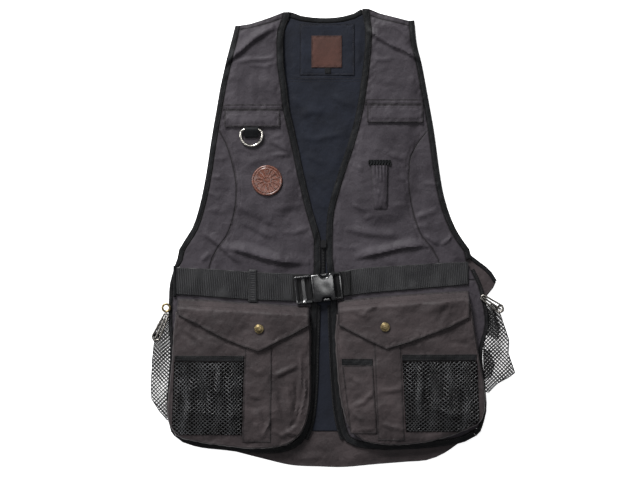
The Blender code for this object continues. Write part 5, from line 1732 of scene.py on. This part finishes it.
def whistle_ring(t, wall):
    """One ring of the tube, from its mouth at t 0 to its foot at t 1."""
    s = 0.5 - 0.5 * np.cos(np.pi * np.arange(COLUMNS + 1) / COLUMNS)
    x_in = WHISTLE_TOP[0] + (WHISTLE_FOOT[0] - WHISTLE_TOP[0]) * t + wall
    x_out = WHISTLE_TOP[1] + (WHISTLE_FOOT[1] - WHISTLE_TOP[1]) * t - wall
    y = WHISTLE_TOP[2] + (WHISTLE_FOOT[2] - WHISTLE_TOP[2]) * t
    rise = WHISTLE_RISE * (1 - 0.7 * t**8) - wall
    x = x_in + (x_out - x_in) * s
    ruffle = RUFFLE * np.cos(2 * np.pi * s * RUFFLES + 0.6) * math.exp(-(t / RUFFLE_REACH)**2)
    wave = ripple(x, np.full(x.shape, y), 31, 11.0, 0.35)
    arch = (4 * s * (1 - s) + 1e-9)**0.32
    return np.column_stack((x, np.full(x.shape, y), WHISTLE_BASE + (rise + ruffle + wave) * arch))


rings = []
for k in range(ROWS + 1):
    rings.append(np.vstack((whistle_ring(k / ROWS, 0.0), whistle_ring(k / ROWS, TRIM)[::-1])))
wide = len(rings[0])
polygons = tube_faces(len(rings), wide)
foot = ROWS * wide
for i in range(COLUMNS):
    polygons.append((i + 1, i, wide - 1 - i, wide - 2 - i))
    polygons.append((foot + i, foot + i + 1, foot + wide - 2 - i, foot + wide - 1 - i))
tube = new_piece("whistle_pocket_cloth", np.vstack(rings), polygons, SHELL, 60.0)
# Painted shade along both long sides of the tube, stored as its edge attribute.
sides = np.sin(np.pi * np.arange(COLUMNS + 1) / COLUMNS)
sides = np.exp(-(np.concatenate((sides, sides[::-1])) / 0.36)**3)
store(tube, "edge", np.tile(sides, ROWS + 1))
face_outward(tube)
declare(tube, "shell_cloth", ["whistle_pocket"], 69.0 * 34.0, 34)


def gathers(x, y, depth):
    """Deep ruffles of the elastic mouth."""
    return (1.3 * np.sin(x * 1.35 + 0.9 * np.sin(y * 0.8)) - 0.9) * ease(depth / 1.2)


sew("whistle_band", level(8.9), level(12.0), TAPE, "shell_cloth", 8.5,
    pitch=1.2, roll=1.2, radius=2.0, extra=gathers)
print("whistle pocket:", len(tube.data.polygons), "faces")

# %% [markdown]
# ## Snap caps
# A snap cap is a shallow brass dome with a rolled rim and a flat ring, turned on a lathe. A
# profile spun round an axis gives it, on 48 sides.

# %% Snaps
CAP = ((0.0, 3.1), (0.3, 3.1), (0.55, 2.85), (0.72, 2.3), (0.78, 2.05), (0.84, 2.1), (0.91, 2.15),
       (0.97, 1.8), (1.0, 1.2), (0.99, 0.5), (0.94, 0.0), (0.0, 0.0))
SNAP_RADIUS, SNAP_SIDES = 7.5, 48
for side in SIDES:
    low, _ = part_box("snap_" + side)
    cx, cy = SNAP[side]
    points, polygons = [], []
    for share, high in CAP:
        for j in range(SNAP_SIDES):
            turn = 2 * math.pi * j / SNAP_SIDES
            points.append((cx + SNAP_RADIUS * share * math.cos(turn),
                           cy + SNAP_RADIUS * share * math.sin(turn), low[2] / MM + high))
    for k in range(len(CAP) - 1):
        for j in range(SNAP_SIDES):
            m = (j + 1) % SNAP_SIDES
            a, b = k * SNAP_SIDES, (k + 1) * SNAP_SIDES
            polygons.append((a + j, b + j, b + m, a + m))
    cap = new_piece(f"snap_cap_{side}", points, polygons, BRASS, 50.0)
    face_outward(cap, merge=True)
    hang(cap, "antique_brass", "snap_" + side)
print("snap caps done")

# %% [markdown]
# ## Stitches
# Every row that was noted while sewing now gets its thread: short beads, 3.2 mm apart, each
# lying along its row.

# %% Stitch rows
stitch = bead("stitch", 2.4, 0.32, 0.3, 5, 3)
stitch_rows = row_tree("Stitches", THREAD)
stitches = repeat("stitches", stitch_paths, stitch_rows, stitch, 3.2)
hang(stitches, "shell_cloth")
for part in (stitch, tooth, rib_part):
    bpy.data.objects.remove(part, do_unlink=True)
print(len(stitch_paths), "rows,", len(stitches.data.polygons), "faces")

# %% [markdown]
# ## Zip slider
# The slider keeps its CAD shape. It is painted black, and takes the zip's dull finish.

# %% A finish on a CAD node
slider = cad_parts["zip_slider"]
slider.data.materials.clear()
slider.data.materials.append(ZIPPER)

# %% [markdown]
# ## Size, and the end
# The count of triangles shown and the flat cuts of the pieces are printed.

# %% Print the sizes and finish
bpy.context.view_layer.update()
triangles = sum(len(p.vertices) - 2 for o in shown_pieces() for p in o.data.polygons)
print("triangles shown:", triangles)
print("cuts, mm:", cut_of)
